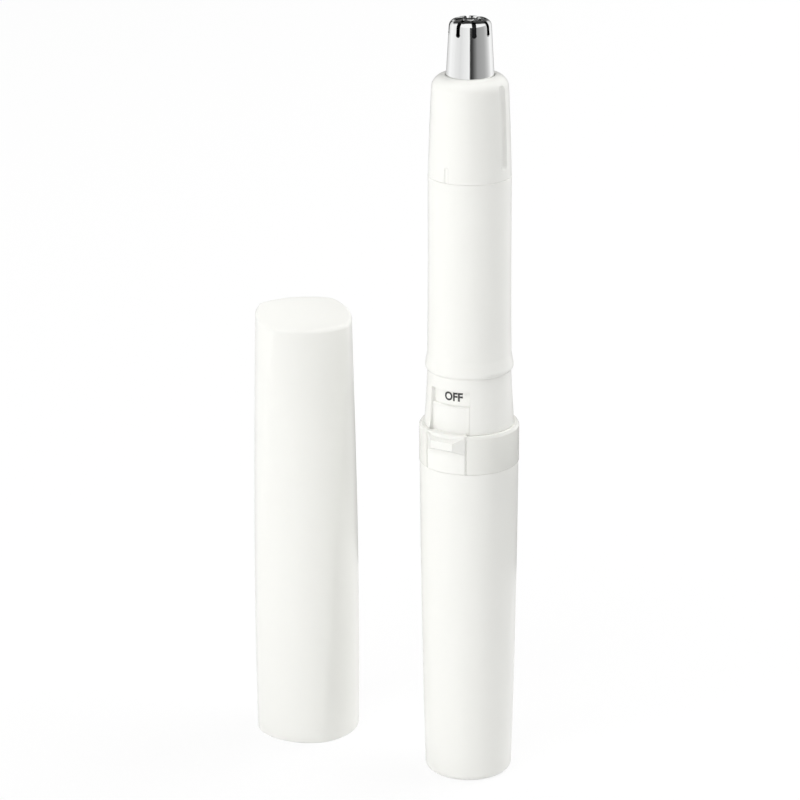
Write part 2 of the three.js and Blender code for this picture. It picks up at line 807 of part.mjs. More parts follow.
// Raised thumb grip: a block with four sloping sides and a flat crest
function gripBump() {
  const baseDepth = collarRadius - bumpBaseRadius;
  const depth = baseDepth + bumpProud;
  const crestLow = bumpBaseLow + bumpCrestRise;
  const ring = (halfWidth, low, height, y) => [
    [-halfWidth, y, low], [halfWidth, y, low], [halfWidth, y, low + height], [-halfWidth, y, low + height],
  ];
  const corners = [
    ...ring(bumpBaseHalfWidth, bumpBaseLow, bumpBaseHeight, -bumpBaseRadius),
    ...ring(bumpCrestHalfWidth, crestLow, bumpCrestHeight, -bumpBaseRadius - depth),
  ];
  const quads = [[0, 1, 5, 4], [1, 2, 6, 5], [2, 3, 7, 6], [3, 0, 4, 7], [4, 5, 6, 7], [3, 2, 1, 0]];
  const geometry = new THREE.BufferGeometry();
  geometry.setAttribute('position', new THREE.Float32BufferAttribute(corners.flat(), 3));
  geometry.setIndex(quads.flatMap(([a, b, c, d]) => [a, b, c, a, c, d]));
  return solidOf(geometry);
}

function makeSwitchBridge() {
  const back = stripFront - touch;
  return block(
    -bridgeHalfWidth, bridgeHalfWidth, back - bridgeThickness, back,
    pegLow - bridgeOverhang, pegLow + pegHeight + bridgeOverhang,
  );
}

// Chassis, cell and contacts

function makeChassis() {
  const bulkheadFoot = cellHigh + 2 * touch + stripThickness;
  const bulkheadTop = bulkheadFoot + endPlate;
  const trough = sector(rearAngle, troughAngle, troughBore, chassisRadius, chassisLow, bulkheadTop);
  const spine = sector(rearAngle, spineAngle, chassisRadius - spineWall, chassisRadius, bulkheadFoot, ledgeHigh);
  const ledge = disc(cradleRadius, ledgeLow, ledgeHigh, sides).subtract(block(
    -ledgeHoleHalfLength, ledgeHoleHalfLength, -ledgeHoleHalfWidth, ledgeHoleHalfWidth,
    ledgeLow - cutOverrun, ledgeHigh + cutOverrun,
  ));
  const cheekX = motorFlat + snugFit * 2;
  const reach = cradleRadius + cutOverrun;
  const cheeks = disc(cradleRadius, ledgeHigh - touch, motorHigh, sides).subtract(
    block(-cheekX, cheekX, -reach, reach, ledgeHigh - cutOverrun, motorHigh + cutOverrun),
  );
  const risersNotch = block(
    -stripSpread - stripWidth, -stripSpread + stripWidth, stripFront - cutOverrun, stripFront + stripThickness * 2,
    bulkheadFoot - cutOverrun, bulkheadTop + cutOverrun,
  );
  const stripNotch = block(
    -chassisRadius - cutOverrun, negativeStripX + stripThickness * 2,
    negativeStripFront - stripThickness, negativeStripFront + negativeStripWidth + touch * 2,
    bulkheadFoot - cutOverrun, bulkheadTop + cutOverrun,
  );
  const bulkhead = disc(chassisRadius, bulkheadFoot, bulkheadTop).subtract(risersNotch).subtract(stripNotch);
  return disc(chassisRadius, chassisLow, chassisLow + endPlate)
    .add(trough).add(bulkhead).add(spine).add(ledge).add(cheeks);
}

function makeCell() {
  const shoulder = cellHigh - cellNubHeight;
  return turned([
    [0, cellLow],
    [cellRadius, cellLow, edgeRounding * 2],
    [cellRadius, shoulder, edgeRounding * 2],
    [cellNubRadius, shoulder],
    [cellNubRadius, cellHigh],
    [0, cellHigh],
  ], smallSides);
}

function makePositiveContact() {
  const low = cellHigh + touch;
  const high = low + stripThickness;
  const riserHigh = pegLow + pegHeight + bridgeOverhang + switchTravel + riserOverhang;
  const left = -stripSpread - stripWidth / 2;
  const right = -stripSpread + stripWidth / 2;
  return disc(plateRadius, low, high)
    .add(block(left, right, stripFront, 0, low, high))
    .add(block(left, right, stripFront, stripFront + stripThickness, low, riserHigh));
}

// Strip that ends in a tab beside a motor terminal, reached from one side
function terminalTab(side) {
  const inner = terminalX - terminalThickness / 2 - touch;
  const low = motorCapLow - touch - terminalLength - touch - stripThickness;
  const lowX = side > 0 ? inner - stripThickness : -inner;
  return block(
    lowX, lowX + stripThickness, -terminalHalfWidth, terminalHalfWidth, low, low + stripThickness + terminalLength,
  );
}

function makeMotorStrip() {
  const crossLow = motorCapLow - touch - terminalLength - touch - stripThickness;
  const left = stripSpread - stripWidth / 2;
  const right = stripSpread + stripWidth / 2;
  const bridgeHigh = pegLow + pegHeight + bridgeOverhang;
  const tabRight = terminalX - terminalThickness / 2 - touch;
  return block(left, right, stripFront, stripFront + stripThickness, bridgeHigh + bridgeGap, crossLow + stripThickness)
    .add(block(left, tabRight, stripFront, terminalHalfWidth, crossLow, crossLow + stripThickness))
    .add(terminalTab(1));
}

function makeNegativeStrip() {
  const low = chassisLow + endPlate + touch;
  const crossLow = motorCapLow - touch - terminalLength - touch - stripThickness;
  const back = negativeStripFront + negativeStripWidth;
  const tabLeft = -terminalX + terminalThickness / 2 + touch;
  return disc(springPlateRadius, low, low + stripThickness)
    .add(block(negativeStripX, 0, negativeStripFront, back, low, low + stripThickness))
    .add(block(negativeStripX, negativeStripX + stripThickness, negativeStripFront, back, low, crossLow + stripThickness))
    .add(block(negativeStripX, tabLeft + stripThickness, negativeStripFront, terminalHalfWidth,
      crossLow, crossLow + stripThickness))
    .add(terminalTab(-1));
}

function makeCellSpring() {
  const low = chassisLow + endPlate + 2 * touch + stripThickness + cellSpringWire / 2;
  const high = cellLow - touch - cellSpringWire / 2;
  return coiledWire(new Coil(cellSpringLowRadius, cellSpringHighRadius, low, high, cellSpringTurns), cellSpringWire);
}

function makeBladeSpring() {
  const low = holderLow + holderFloor + touch + bladeSpringWire / 2;
  const high = carrierFlangeHigh - carrierFlangeHeight - touch - bladeSpringWire / 2;
  return coiledWire(new Coil(bladeSpringRadius, bladeSpringRadius, low, high, bladeSpringTurns), bladeSpringWire);
}

// Motor and drive

function makeMotorCan() {
  const can = flattedBar(motorRadius, motorFlat, motorLow, motorHigh);
  const inside = flattedBar(
    motorRadius - motorWall, motorFlat - motorWall, motorLow - cutOverrun, motorHigh - motorWall,
  );
  const boss = disc(motorBossRadius, motorHigh - touch, motorHigh + motorBossHeight);
  const bore = disc(shaftRadius + slideFit, motorLow, motorHigh + cutOverrun);
  return can.subtract(inside).add(boss).subtract(bore);
}

function makeMotorEndCap() {
  const high = motorCapLow + motorCapHeight;
  const seat = disc(shaftRadius + slideFit, high - shaftSeat, high + cutOverrun);
  return flattedBar(motorRadius, motorFlat, motorCapLow, high).subtract(seat);
}

function makeMagnet(direction) {
  return sector(
    direction, magnetAngle, magnetBore, magnetBore + magnetThickness, magnetLow, magnetLow + magnetLength,
  );
}

// Three-pole core with its commutator below
function makeArmature() {
  const high = armatureLow + armatureLength;
  const core = disc(armatureRadius, armatureLow, high, sides);
  const commutator = disc(commutatorRadius, armatureLow - commutatorLength, armatureLow + touch);
  const bore = disc(shaftRadius + snugFit, armatureLow - commutatorLength - cutOverrun, high + cutOverrun);
  const gap = block(
    armatureRadius - poleDepth, armatureRadius + cutOverrun, -poleGap / 2, poleGap / 2,
    armatureLow - cutOverrun, high + cutOverrun,
  );
  return Array.from({ length: armaturePoles }, (_, pole) => pole).reduce(
    (armature, pole) => armature.subtract(gap.rotate([0, 0, pole / armaturePoles * fullTurn])),
    core,
  ).add(commutator).subtract(bore);
}

function makeMotorTerminal(side) {
  const high = motorCapLow - touch;
  const middle = side * terminalX;
  return block(
    middle - terminalThickness / 2, middle + terminalThickness / 2, -terminalHalfWidth, terminalHalfWidth,
    high - terminalLength, high,
  );
}

function makeMotorShaft() {
  return disc(shaftRadius, motorCapLow + motorCapHeight - shaftSeat + slideFit, shaftHigh);
}

function makeShaftSeal() {
  return tubeRing(
    shaftRadius + slideFit, shaftSealRadius - snugFit, shaftSealLow + touch, bulkheadHigh - touch, smallSides,
  );
}

function makeSealRing() {
  const ring = new THREE.TorusGeometry(sealRingRadius, sealRingWire, smallSides / 4, smallSides);
  return solidOf(ring.translate(0, 0, (sealGrooveLow + sealGrooveHigh) / 2));
}

// Cap

// Square of four arcs: its radius towards a direction, from its face and corner radii
function squareRadius(face, corner, angle) {
  const side = Math.PI / 2;
  const fromFace = angle - Math.round(angle / side) * side;
  const halfChord = corner * Math.SQRT1_2;
  const rise = face - halfChord;
  const bend = (halfChord ** 2 + rise ** 2) / (2 * rise);
  const offset = face - bend;
  return offset * Math.cos(fromFace) + Math.sqrt(bend ** 2 - (offset * Math.sin(fromFace)) ** 2);
}

function capRing(height, inset) {
  const share = height / capHeight;
  const face = bowed(capFaceBottom, capFaceMiddle, capFaceTop, share) - inset;
  const corner = bowed(capCornerBottom, capCornerMiddle, capCornerTop, share) - inset;
  const turn = radians(bowed(capTurnBottom, capTurnMiddle, capTurnTop, share));
  const slant = Math.tan(radians(capTopSlant)) * share;
  const uphill = radians(capTurnTop + capSlantTurn);
  return Array.from({ length: capColumns }, (_, column) => {
    const angle = column / capColumns * Math.PI * 2;
    const radius = squareRadius(face, corner, angle);
    const direction = angle + turn + Math.PI / 4;
    const rise = radius * Math.cos(direction - uphill) * slant;
    return [radius * Math.cos(direction), radius * Math.sin(direction), height + rise];
  });
}

function capLevels() {
  const quarter = Array.from({ length: capEdgeSteps + 1 }, (_, step) => step / capEdgeSteps * Math.PI / 2);
  const rim = quarter.map((angle) => [
    capRimRounding * (1 - Math.sin(angle)), capRimRounding * (1 - Math.cos(angle)),
  ]);
  const wallLow = capRimRounding;
  const wallHigh = capHeight - capTopRounding;
  const wall = Array.from({ length: capRows - 1 }, (_, row) => (
    [THREE.MathUtils.lerp(wallLow, wallHigh, (row + 1) / capRows), 0]
  ));
  const top = quarter.map((angle) => [
    wallHigh + capTopRounding * Math.sin(angle), capTopRounding * (1 - Math.cos(angle)),
  ]);
  return [...rim.map(([inset, height]) => [height, inset]), ...wall, ...top];
}

function makeCap() {
  const rings = capLevels().map(([height, inset]) => capRing(height, inset));
  const points = [...rings.flat(), [0, 0, 0], [0, 0, capHeight]];
  const footCentre = rings.length * capColumns;
  const topCentre = footCentre + 1;
  const faces = [];
  for (let column = 0; column < capColumns; column += 1) {
    const next = (column + 1) % capColumns;
    faces.push(footCentre, next, column);
    const topRing = (rings.length - 1) * capColumns;
    faces.push(topCentre, topRing + column, topRing + next);
    for (let row = 0; row < rings.length - 1; row += 1) {
      const low = row * capColumns;
      const high = low + capColumns;
      faces.push(low + column, low + next, high + next);
      faces.push(low + column, high + next, high + column);
    }
  }
  const geometry = new THREE.BufferGeometry();
  geometry.setAttribute('position', new THREE.Float32BufferAttribute(points.flat(), 3));
  geometry.setIndex(faces);
  const hollowHigh = capHeight - capTopWall - capEndRadius * Math.tan(radians(capTopSlant));
  const hollow = turned([
    [0, -cutOverrun],
    [capMouthRadius, -cutOverrun],
    [capMouthRadius, 0],
    [capEndRadius, hollowHigh, capEndRounding],
    [0, hollowHigh],
  ]);
  return solidOf(geometry).subtract(hollow).translate([capCentreX, capCentreY, 0]);
}

// Assembly

const trimmer = new THREE.Group();
trimmer.name = 'nose_hair_trimmer';

function place(name, shape, material, group = trimmer) {
  const geometry = shape.isBufferGeometry ? weld(shape) : geometryOf(shape);
  geometry.computeVertexNormals();
  const mesh = new THREE.Mesh(geometry, material);
  mesh.name = name;
  group.add(mesh);
}

place('battery_cover', makeBatteryCover(), whiteShell);
place('cover_seal', makeSealRing(), blackRubber);
place('collar_ring', makeCollarRing(), whiteCollar);
place('neck_shell', makeNeckShell(), whiteShell);
place('upper_barrel', makeUpperBarrel(), whiteShell);

place('switch_knob', makeSwitchKnob(), whiteShell);
place('switch_contact', makeSwitchBridge(), brass);

place('chassis', makeChassis(), chassisPlastic);
place('aaa_cell', makeCell(), cellJacket);
place('positive_contact', makePositiveContact(), brass);
place('motor_strip', makeMotorStrip(), brass);
place('negative_strip', makeNegativeStrip(), brass);
place('negative_spring', makeCellSpring(), springSteel);

place('motor_can', makeMotorCan(), motorSteel);
place('motor_end_cap', makeMotorEndCap(), darkPlastic);
place('motor_magnet_front', makeMagnet(frontAngle), magnetFerrite);
place('motor_magnet_rear', makeMagnet(rearAngle), magnetFerrite);
place('motor_armature', makeArmature(), springSteel);
place('motor_terminal_left', makeMotorTerminal(-1), brass);
place('motor_terminal_right', makeMotorTerminal(1), brass);
place('motor_shaft', makeMotorShaft(), springSteel);
place('shaft_seal', makeShaftSeal(), blackRubber);
place('drive_coupling', makeDriveCoupling(), darkPlastic);

place('head_housing', makeHeadHousing(), whiteShell);
place('outer_blade', makeOuterBlade(), polishedSteel);
place('blade_holder', makeBladeHolder(), chassisPlastic);
place('inner_blade', makeInnerBlade(), springSteel);
place('blade_carrier', makeBladeCarrier(), darkPlastic);
place('blade_spring', makeBladeSpring(), springSteel);

place('cap', makeCap(), whiteShell);

export default trimmer;
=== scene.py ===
"""Pen-style nose hair trimmer with its twisted cap standing beside it.

Each visible moulding is modelled over its frame solid, and the works inside are smoothed copies.
Sizes are given in millimetres and made metres by one unit.
"""

import math

import bpy
from bpy.props import FloatProperty, FloatVectorProperty, IntProperty, PointerProperty
from mathutils import Matrix, Vector


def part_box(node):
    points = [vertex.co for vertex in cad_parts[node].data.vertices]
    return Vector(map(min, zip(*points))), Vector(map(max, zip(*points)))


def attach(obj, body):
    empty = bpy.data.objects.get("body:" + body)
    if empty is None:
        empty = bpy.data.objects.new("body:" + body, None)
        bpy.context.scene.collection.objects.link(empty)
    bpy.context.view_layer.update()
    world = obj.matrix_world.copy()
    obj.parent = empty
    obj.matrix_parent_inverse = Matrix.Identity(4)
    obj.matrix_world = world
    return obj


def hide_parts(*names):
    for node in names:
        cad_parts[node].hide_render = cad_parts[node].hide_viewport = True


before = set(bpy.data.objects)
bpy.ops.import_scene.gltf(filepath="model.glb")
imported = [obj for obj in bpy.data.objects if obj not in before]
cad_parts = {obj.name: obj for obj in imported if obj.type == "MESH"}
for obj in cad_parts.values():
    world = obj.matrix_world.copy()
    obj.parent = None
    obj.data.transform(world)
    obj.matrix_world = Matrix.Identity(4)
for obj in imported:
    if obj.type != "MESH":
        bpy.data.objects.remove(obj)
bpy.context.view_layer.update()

bl_info = {
    "name": "Nose Hair Trimmer",
    "version": (1, 0, 0),
    "blender": (4, 5, 0),
    "location": "View3D > Sidebar > Trimmer",
    "description": "Models a slim battery nose hair trimmer and its cap",
    "category": "Add Mesh",
}

MM = 0.001
SMOOTH_ANGLE = math.radians(32)
CAP_SMOOTH_ANGLE = math.radians(50)
BEVEL_ANGLE = math.radians(40)
ARC_STEP = math.radians(11)
FRONT = math.radians(-90)
UPRIGHT = (math.radians(90), 0, 0)
WELD_DISTANCE = 0.0002
OVERRUN = 2
SEGMENTS = 128
WALL_STEPS = 8


def top_of(node):
    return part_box(node)[1].z / MM


def foot_of(node):
    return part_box(node)[0].z / MM


# Heights read from the frame

COVER_HIGH = top_of("battery_cover")
COLLAR_LOW = foot_of("collar_ring")
COLLAR_HIGH = top_of("collar_ring")
NECK_HIGH = top_of("neck_shell")
BARREL_LOW = foot_of("upper_barrel")
BARREL_HIGH = top_of("upper_barrel")
HEAD_HIGH = top_of("head_housing")
BLADE_HIGH = top_of("outer_blade")

# Depth and edge roundings of the bevel that runs round the collar and over the knob

BEVEL_DEPTH = 0.3
BEVEL_LOW_ROUNDING = 0.2
BEVEL_HIGH_ROUNDING = 0.1

# Surfaces: upright stretch of the relief, its height, broad tones or not, and the group's inputs

SURFACES = {
    "moulded_surface": (1, 0.03, True, {
        "Tone Spread": 0.02, "Roughness": 0.3, "Roughness Spread": 0.06,
        "Relief Scale": 6000, "Relief Depth": 0.05,
    }),
    "drawn_metal": (0.04, 0.02, False, {
        "Tone Spread": 0.1, "Roughness": 0.15, "Roughness Spread": 0.1,
        "Relief Scale": 4000, "Relief Depth": 0.05,
    }),
}

# Finishes: slot, surface, colour or the name of a chosen colour, and the rest of the settings
# Their names differ from the slots, which have plain materials of their own in the frame

FINISHES = {
    # The edge value is the level of painted shade that the colour falls to where the surface turns away from
    # the eye
    "white_moulding": ("white_shell", "moulded_surface", "shell", dict(
        coat=0.25, edge=0.86, Roughness=0.3, Tone_Spread=0.015)),
    "collar_moulding": ("white_collar", "moulded_surface", "collar", dict(
        coat=0.4, edge=0.92, Roughness=0.22, Tone_Spread=0.015)),
    "switch_ink": ("dark_plastic", "moulded_surface", "ink", dict(Roughness=0.45, Relief_Scale=9000)),
    "polished_blade": ("polished_steel", "drawn_metal", (0.95, 0.955, 0.95), dict(
        Roughness=0.06, Roughness_Spread=0.06, Tone_Spread=0.05, Relief_Depth=0.03)),
    "cutter_steel": ("spring_steel", "drawn_metal", (0.03, 0.03, 0.032), dict(Roughness=0.45)),
    "spring_wire": ("spring_steel", "drawn_metal", (0.55, 0.56, 0.57), dict(Roughness=0.18)),
    "brass_strip": ("brass", "drawn_metal", (0.78, 0.57, 0.22), dict(Roughness=0.26)),
    "motor_plating": ("motor_steel", "drawn_metal", (0.62, 0.63, 0.64), dict(Roughness=0.28)),
    "frame_plastic": ("chassis_plastic", "moulded_surface", (0.6, 0.62, 0.62), dict(
        Roughness=0.5, Relief_Depth=0.15)),
    "dark_moulding": ("dark_plastic", "moulded_surface", (0.03, 0.032, 0.035), dict(
        Roughness=0.42, Relief_Depth=0.2)),
    "soft_rubber": ("black_rubber", "moulded_surface", (0.012, 0.012, 0.013), dict(
        Roughness=0.7, Relief_Depth=0.3)),
    "sintered_magnet": ("magnet_ferrite", "moulded_surface", (0.045, 0.046, 0.05), dict(
        Roughness=0.55, Relief_Depth=0.3)),
    "printed_jacket": ("cell_jacket", "moulded_surface", (0.05, 0.11, 0.28), dict(coat=0.6, Roughness=0.3)),
}
COAT_ROUGHNESS = 0.12

# Share of a surface's turn away from the eye over which pale mouldings darken to their edge level, a painted
# shade at their rims

EDGE_SHADE_START = 0.68
EDGE_SHADE_END = 0.92

# Bands of the cell's jacket as (share of its height, colour) stops, and where its metal lies bare

JACKET_BLUE = (0.05, 0.11, 0.28)
JACKET_BANDS = [(0, 0.6), (0.02, JACKET_BLUE), (0.7, (0.75, 0.76, 0.76)), (0.74, JACKET_BLUE), (0.965, 0.6)]
JACKET_BARE = [(0, 1), (0.02, 0), (0.965, 1)]

# Switch words: text, place of the middle to the right and up, width and height

SWITCH_WORDS = (("OFF", 0.75, 74.65, 3.45, 1.64), ("ON", 0.2, 62.05, 2.4, 1.5))

# Works inside: frame node, body, finish and the rounding of its edges

INNER_WORKS = (
    ("cover_seal", "body", "soft_rubber", 0),
    ("chassis", "body", "frame_plastic", 0.1),
    ("aaa_cell", "body", "printed_jacket", 0),
    ("positive_contact", "body", "brass_strip", 0.04),
    ("motor_strip", "body", "brass_strip", 0.04),
    ("negative_strip", "body", "brass_strip", 0.04),
    ("negative_spring", "body", "spring_wire", 0),
    ("motor_can", "body", "motor_plating", 0.12),
    ("motor_end_cap", "body", "dark_moulding", 0.12),
    ("motor_magnet_front", "body", "sintered_magnet", 0.1),
    ("motor_magnet_rear", "body", "sintered_magnet", 0.1),
    ("motor_armature", "rotor", "spring_wire", 0.06),
    ("motor_terminal_left", "body", "brass_strip", 0.04),
    ("motor_terminal_right", "body", "brass_strip", 0.04),
    ("shaft_seal", "body", "soft_rubber", 0.08),
    ("motor_shaft", "rotor", "spring_wire", 0.08),
    ("drive_coupling", "rotor", "dark_moulding", 0.1),
    ("switch_contact", "switch", "brass_strip", 0.06),
    ("blade_holder", "blade_head", "frame_plastic", 0.1),
    ("inner_blade", "cutter", "cutter_steel", 0.04),
    ("blade_carrier", "cutter", "dark_moulding", 0.1),
    ("blade_spring", "cutter", "spring_wire", 0),
)

# Lamps: name, place in metres, side in metres and power in watts

LAMPS = (
    ("key_light", (-0.01, -0.78, 0.85), 0.8, 6.8),
    ("left_light", (-0.55, -0.95, 0.22), 0.4, 2.8),
    ("rim_light", (0.49, 0.5, 0.91), 0.8, 6.8),
    ("back_light", (-0.69, 0.18, 0.91), 0.8, 2.6),
    ("edge_light", (0.08, 1.03, 0.45), 0.8, 4),
)
LAMP_AIM = (-0.01, 0, 0.07)
WORLD_LEVEL = 0.2
FLOOR_SIDE = 8

# Painted reflections: grey levels of a glowing ring that only reflections see, as (share of a turn, grey
# level) stops, which run from behind by the left to the front, and on by the right to behind

GRIP_REFLECTIONS = [
    (0, 0.4), (0.06, 0.6), (0.08, 0.9), (0.183, 1), (0.5, 1), (0.57, 0.8), (0.65, 0.1), (0.86, 0.04),
    (0.92, 0.4), (1, 0.1),
]
BARREL_REFLECTIONS = [(0, 0.6), (0.08, 0.75), (0.1, 1), (0.87, 1), (0.89, 0.75), (1, 0.6)]
BLADE_REFLECTIONS = [
    (0, 0.1), (0.03, 0.1), (0.06, 0.6), (0.183, 1), (0.36, 0.78), (0.488, 0.95), (0.495, 0.03), (0.53, 0.06),
    (0.6, 0.33), (0.7, 0.42), (0.76, 0.62), (0.83, 1), (0.92, 0.8), (0.96, 0.1), (1, 0.1),
]
RIM_REFLECTIONS = [(0, 1), (0.012, 1), (0.022, 0.1), *BLADE_REFLECTIONS[1:-1], (0.978, 0.1), (0.988, 1), (1, 1)]
CROWN_REFLECTIONS = [(0, 0.03), (0.13, 0.06), (0.2, 1), (0.8, 1), (0.87, 0.06), (1, 0.03)]

# Heights from which each set of painted reflections takes over from the grip's, and half the height of the
# change

REFLECTION_BANDS = ((39, BARREL_REFLECTIONS), (93.5, RIM_REFLECTIONS), (128, BLADE_REFLECTIONS), (195, CROWN_REFLECTIONS))
REFLECTION_BLEND = 3


# Settings

def length_property(label, about, default, least=0.01):
    return FloatProperty(name=label, description=about + ", in millimetres", default=default, min=least)


def angle_property(label, about, degrees):
    return FloatProperty(name=label, description=about, default=math.radians(degrees), subtype="ANGLE")


def vector_property(label, about, default):
    return FloatVectorProperty(name=label, description=about, default=default, size=len(default))


def color_property(label, about, default):
    return FloatVectorProperty(
        name=label, description=about, default=default, size=3, subtype="COLOR", min=0, max=1)


class GripSizes(bpy.types.PropertyGroup):
    """Sizes of the battery cover, its collar and the switch window"""

    foot_radius: length_property("Foot radius", "Radius of the cover at its foot", 7.93, least=1)
    middle_radius: length_property("Middle radius", "Radius halfway up the cover", 8.6, least=1)
    high_radius: length_property("Upper radius", "Radius at the cover's upper edge", 8.92, least=1)
    foot_rounding: length_property("Foot rounding", "Rounding of the foot's edge", 1.3)
    collar_radius: length_property("Collar radius", "Radius of the collar ring", 9.03, least=1)
    collar_bevel: length_property("Collar bevel", "Height of the collar's bright upper bevel", 0.5)
    collar_gap: angle_property("Collar gap", "Half angle of the collar's front gap", 27.4)
    window_angle: angle_property("Window angle", "Half angle of the switch window", 30.6)
    window_high: length_property("Window top", "Height of the window's upper edge", 75.8)
    window_floor: length_property("Window floor", "Radius of the window's floor", 6.95)


class HeadSizes(bpy.types.PropertyGroup):
    """Sizes of the head's flutes and of the blade's slots"""

    flute_radius: length_property("Flute radius", "Radius of the hollow's round section", 1.25)
    flute_depth: length_property("Flute depth", "Depth of the side hollows", 0.5)
    slot_width: length_property("Slot width", "Width of the crown's slots", 0.75)
    slot_low: length_property("Slot foot", "Height of the slots' round ends", 139.3)
    slot_count: IntProperty(name="Slots", description="Number of slots round the crown", default=8, min=2)
    turn: angle_property("Turn", "Turn of the flutes, the seat mark and the slots", -4)


class CapSizes(bpy.types.PropertyGroup):
    """Rounded square section of the cap at its rim, its middle and its end"""

    face: vector_property("Face radii", "Distance from axis to face, in millimetres", (9.5, 9.63, 8.81))
    corner: vector_property(
        "Corner radii", "Distance from axis to corner, in millimetres", (9.88, 10.33, 9.88))
    turn: vector_property("Turns", "Turn of the section, in degrees", (-38, -23.6, -1.6))
    height: length_property("Height", "Height of the cap's end on its axis", 82.2)
    slant: angle_property("Slant", "Slant of the cap's end", 4.1)
    slant_turn: angle_property("Slant turn", "Turn of the slant from the end's section", 135)
    ridge: length_property("Ridge", "Softness of the four ridges", 0.1)
    edge: length_property("End rounding", "Rounding of the flat end's edge", 0.7)
    centre: vector_property("Centre", "Place of the cap's axis, in millimetres", (-35.7, 0.6))


class Finishes(bpy.types.PropertyGroup):
    """Colours of the mouldings, the print and the floor"""

    shell: color_property("Shell", "White of the mouldings", (0.87, 0.87, 0.835))
    collar: color_property("Collar", "White of the collar ring", (0.83, 0.83, 0.79))
    ink: color_property("Ink", "Grey of the switch words", (0.045, 0.045, 0.045))
    floor: color_property("Floor", "Colour of the floor", (0.9, 0.9, 0.9))


# Selection and editing by hand tools

def clear_selection():
    if bpy.context.object and bpy.context.object.mode != "OBJECT":
        bpy.ops.object.mode_set(mode="OBJECT")
    bpy.ops.object.select_all(action="DESELECT")


def pick(piece):
    clear_selection()
    piece.select_set(True)
    bpy.context.view_layer.objects.active = piece


def edit(piece):
    pick(piece)
    bpy.ops.object.mode_set(mode="EDIT")
    bpy.ops.mesh.select_mode(type="VERT")
    bpy.ops.mesh.select_all(action="SELECT")


def leave_edit():
    bpy.ops.object.mode_set(mode="OBJECT")


def edit_only(piece, kind, wanted):
    """Edit a piece with only its wanted edges or faces selected."""
    edit(piece)
    bpy.ops.mesh.select_mode(type=kind)
    bpy.ops.mesh.select_all(action="DESELECT")
    leave_edit()
    for part in piece.data.edges if kind == "EDGE" else piece.data.polygons:
        part.select = wanted(part)
    bpy.ops.object.mode_set(mode="EDIT")


def name_piece(name):
    piece = bpy.context.object
    piece.name = name
    piece.data.name = name
    return piece


def settle(piece):
    pick(piece)
    bpy.ops.object.transform_apply(location=True, rotation=True, scale=True)
    return piece


def face_out(piece):
    edit(piece)
    bpy.ops.mesh.remove_doubles(threshold=WELD_DISTANCE * MM)
    bpy.ops.mesh.normals_make_consistent(inside=False)
    leave_edit()
    return piece


def smooth(piece, angle=SMOOTH_ANGLE):
    pick(piece)
    bpy.ops.object.shade_smooth_by_angle(angle=angle)
    return piece


def modify(piece, kind, **settings):
    """Apply a modifier with its settings."""
    pick(piece)
    modifier = piece.modifiers.new(kind.lower(), kind)
    for key, value in settings.items():
        setattr(modifier, key, value)
    bpy.ops.object.modifier_apply(modifier=modifier.name)
    return piece


def soften(piece, width, segments=2, angle=BEVEL_ANGLE):
    """Round the sharp edges of a piece by a small bevel."""
    return modify(
        piece, "BEVEL", width=width * MM, segments=segments, limit_method="ANGLE", angle_limit=angle)


def combine(piece, tool, operation):
    """Cut a tool out of a piece, or join it on, and use the tool up."""
    modify(piece, "BOOLEAN", operation=operation, solver="EXACT", object=tool)
    bpy.data.objects.remove(tool, do_unlink=True)


def cut(piece, tool):
    combine(piece, tool, "DIFFERENCE")


def join_on(piece, tool):
    combine(piece, tool, "UNION")


# Profiles and the shapes made from them

def bowed(low, middle, high, share):
    """Value between two ends that passes a middle value halfway."""
    bulge = middle - (low + high) / 2
    return low + (high - low) * share + 4 * bulge * share * (1 - share)


def bow(low, middle_radius, high, steps=WALL_STEPS):
    """Stations of a bowed wall between two (radius, height) ends."""
    stations = []
    for step in range(steps + 1):
        share = step / steps
        height = low[1] + (high[1] - low[1]) * share
        stations.append((bowed(low[0], middle_radius, high[0], share), height))
    return stations


def oblong(inner, outer, low, high):
    """Corners of a plain section between two radii and two heights."""
    return [(inner, low), (outer, low), (outer, high), (inner, high)]


def rounded(corners):
    """Profile through (radius, height, rounding) corners, with an arc at each rounded one."""
    profile = []
    count = len(corners)
    for index, corner in enumerate(corners):
        here = Vector(corner[:2])
        if len(corner) < 3:
            profile.append(here)
            continue
        before = (Vector(corners[index - 1][:2]) - here).normalized()
        after = (Vector(corners[(index + 1) % count][:2]) - here).normalized()
        half = before.angle(after) / 2
        centre = here + (before + after).normalized() * corner[2] / math.sin(half)
        start = here + before * corner[2] / math.tan(half) - centre
        end = here + after * corner[2] / math.tan(half) - centre
        sweep = math.atan2(start.cross(end), start.dot(end))
        steps = max(2, math.ceil(abs(sweep) / ARC_STEP))
        for step in range(steps + 1):
            profile.append(centre + Matrix.Rotation(sweep * step / steps, 2) @ start)
    return profile


def turned(name, corners, closed=False, segments=SEGMENTS):
    """Turn a profile about the upright axis, by extruding a ring of edges from station to station."""
    profile = rounded(corners)
    first = profile[0]
    clear_selection()
    bpy.ops.mesh.primitive_circle_add(
        vertices=segments, radius=first.x * MM, location=(0, 0, first.y * MM))
    piece = settle(name_piece(name))
    edit(piece)
    if not closed:
        bpy.ops.mesh.edge_face_add()
    stations = profile[1:] + [first] if closed else profile[1:]
    last = first
    for station in stations:
        rise = (station.y - last.y) * MM
        growth = station.x / last.x
        bpy.ops.mesh.extrude_edges_move(TRANSFORM_OT_translate={"value": (0, 0, rise)})
        bpy.ops.transform.resize(value=(growth, growth, 1))
        last = station
    if not closed:
        bpy.ops.mesh.edge_face_add()
    leave_edit()
    return face_out(piece)


def wedge(name, corners, half_angle):
    """Keep the part of a turned ring that lies within an angle of the front."""
    piece = turned(name, corners, closed=True)
    for side in (-1, 1):
        edge = FRONT + side * half_angle
        edit(piece)
        bpy.ops.mesh.bisect(
            plane_co=(0, 0, 0), plane_no=(-side * math.sin(edge), side * math.cos(edge), 0),
            use_fill=True, clear_outer=True, threshold=WELD_DISTANCE * MM)
        leave_edit()
    return face_out(piece)


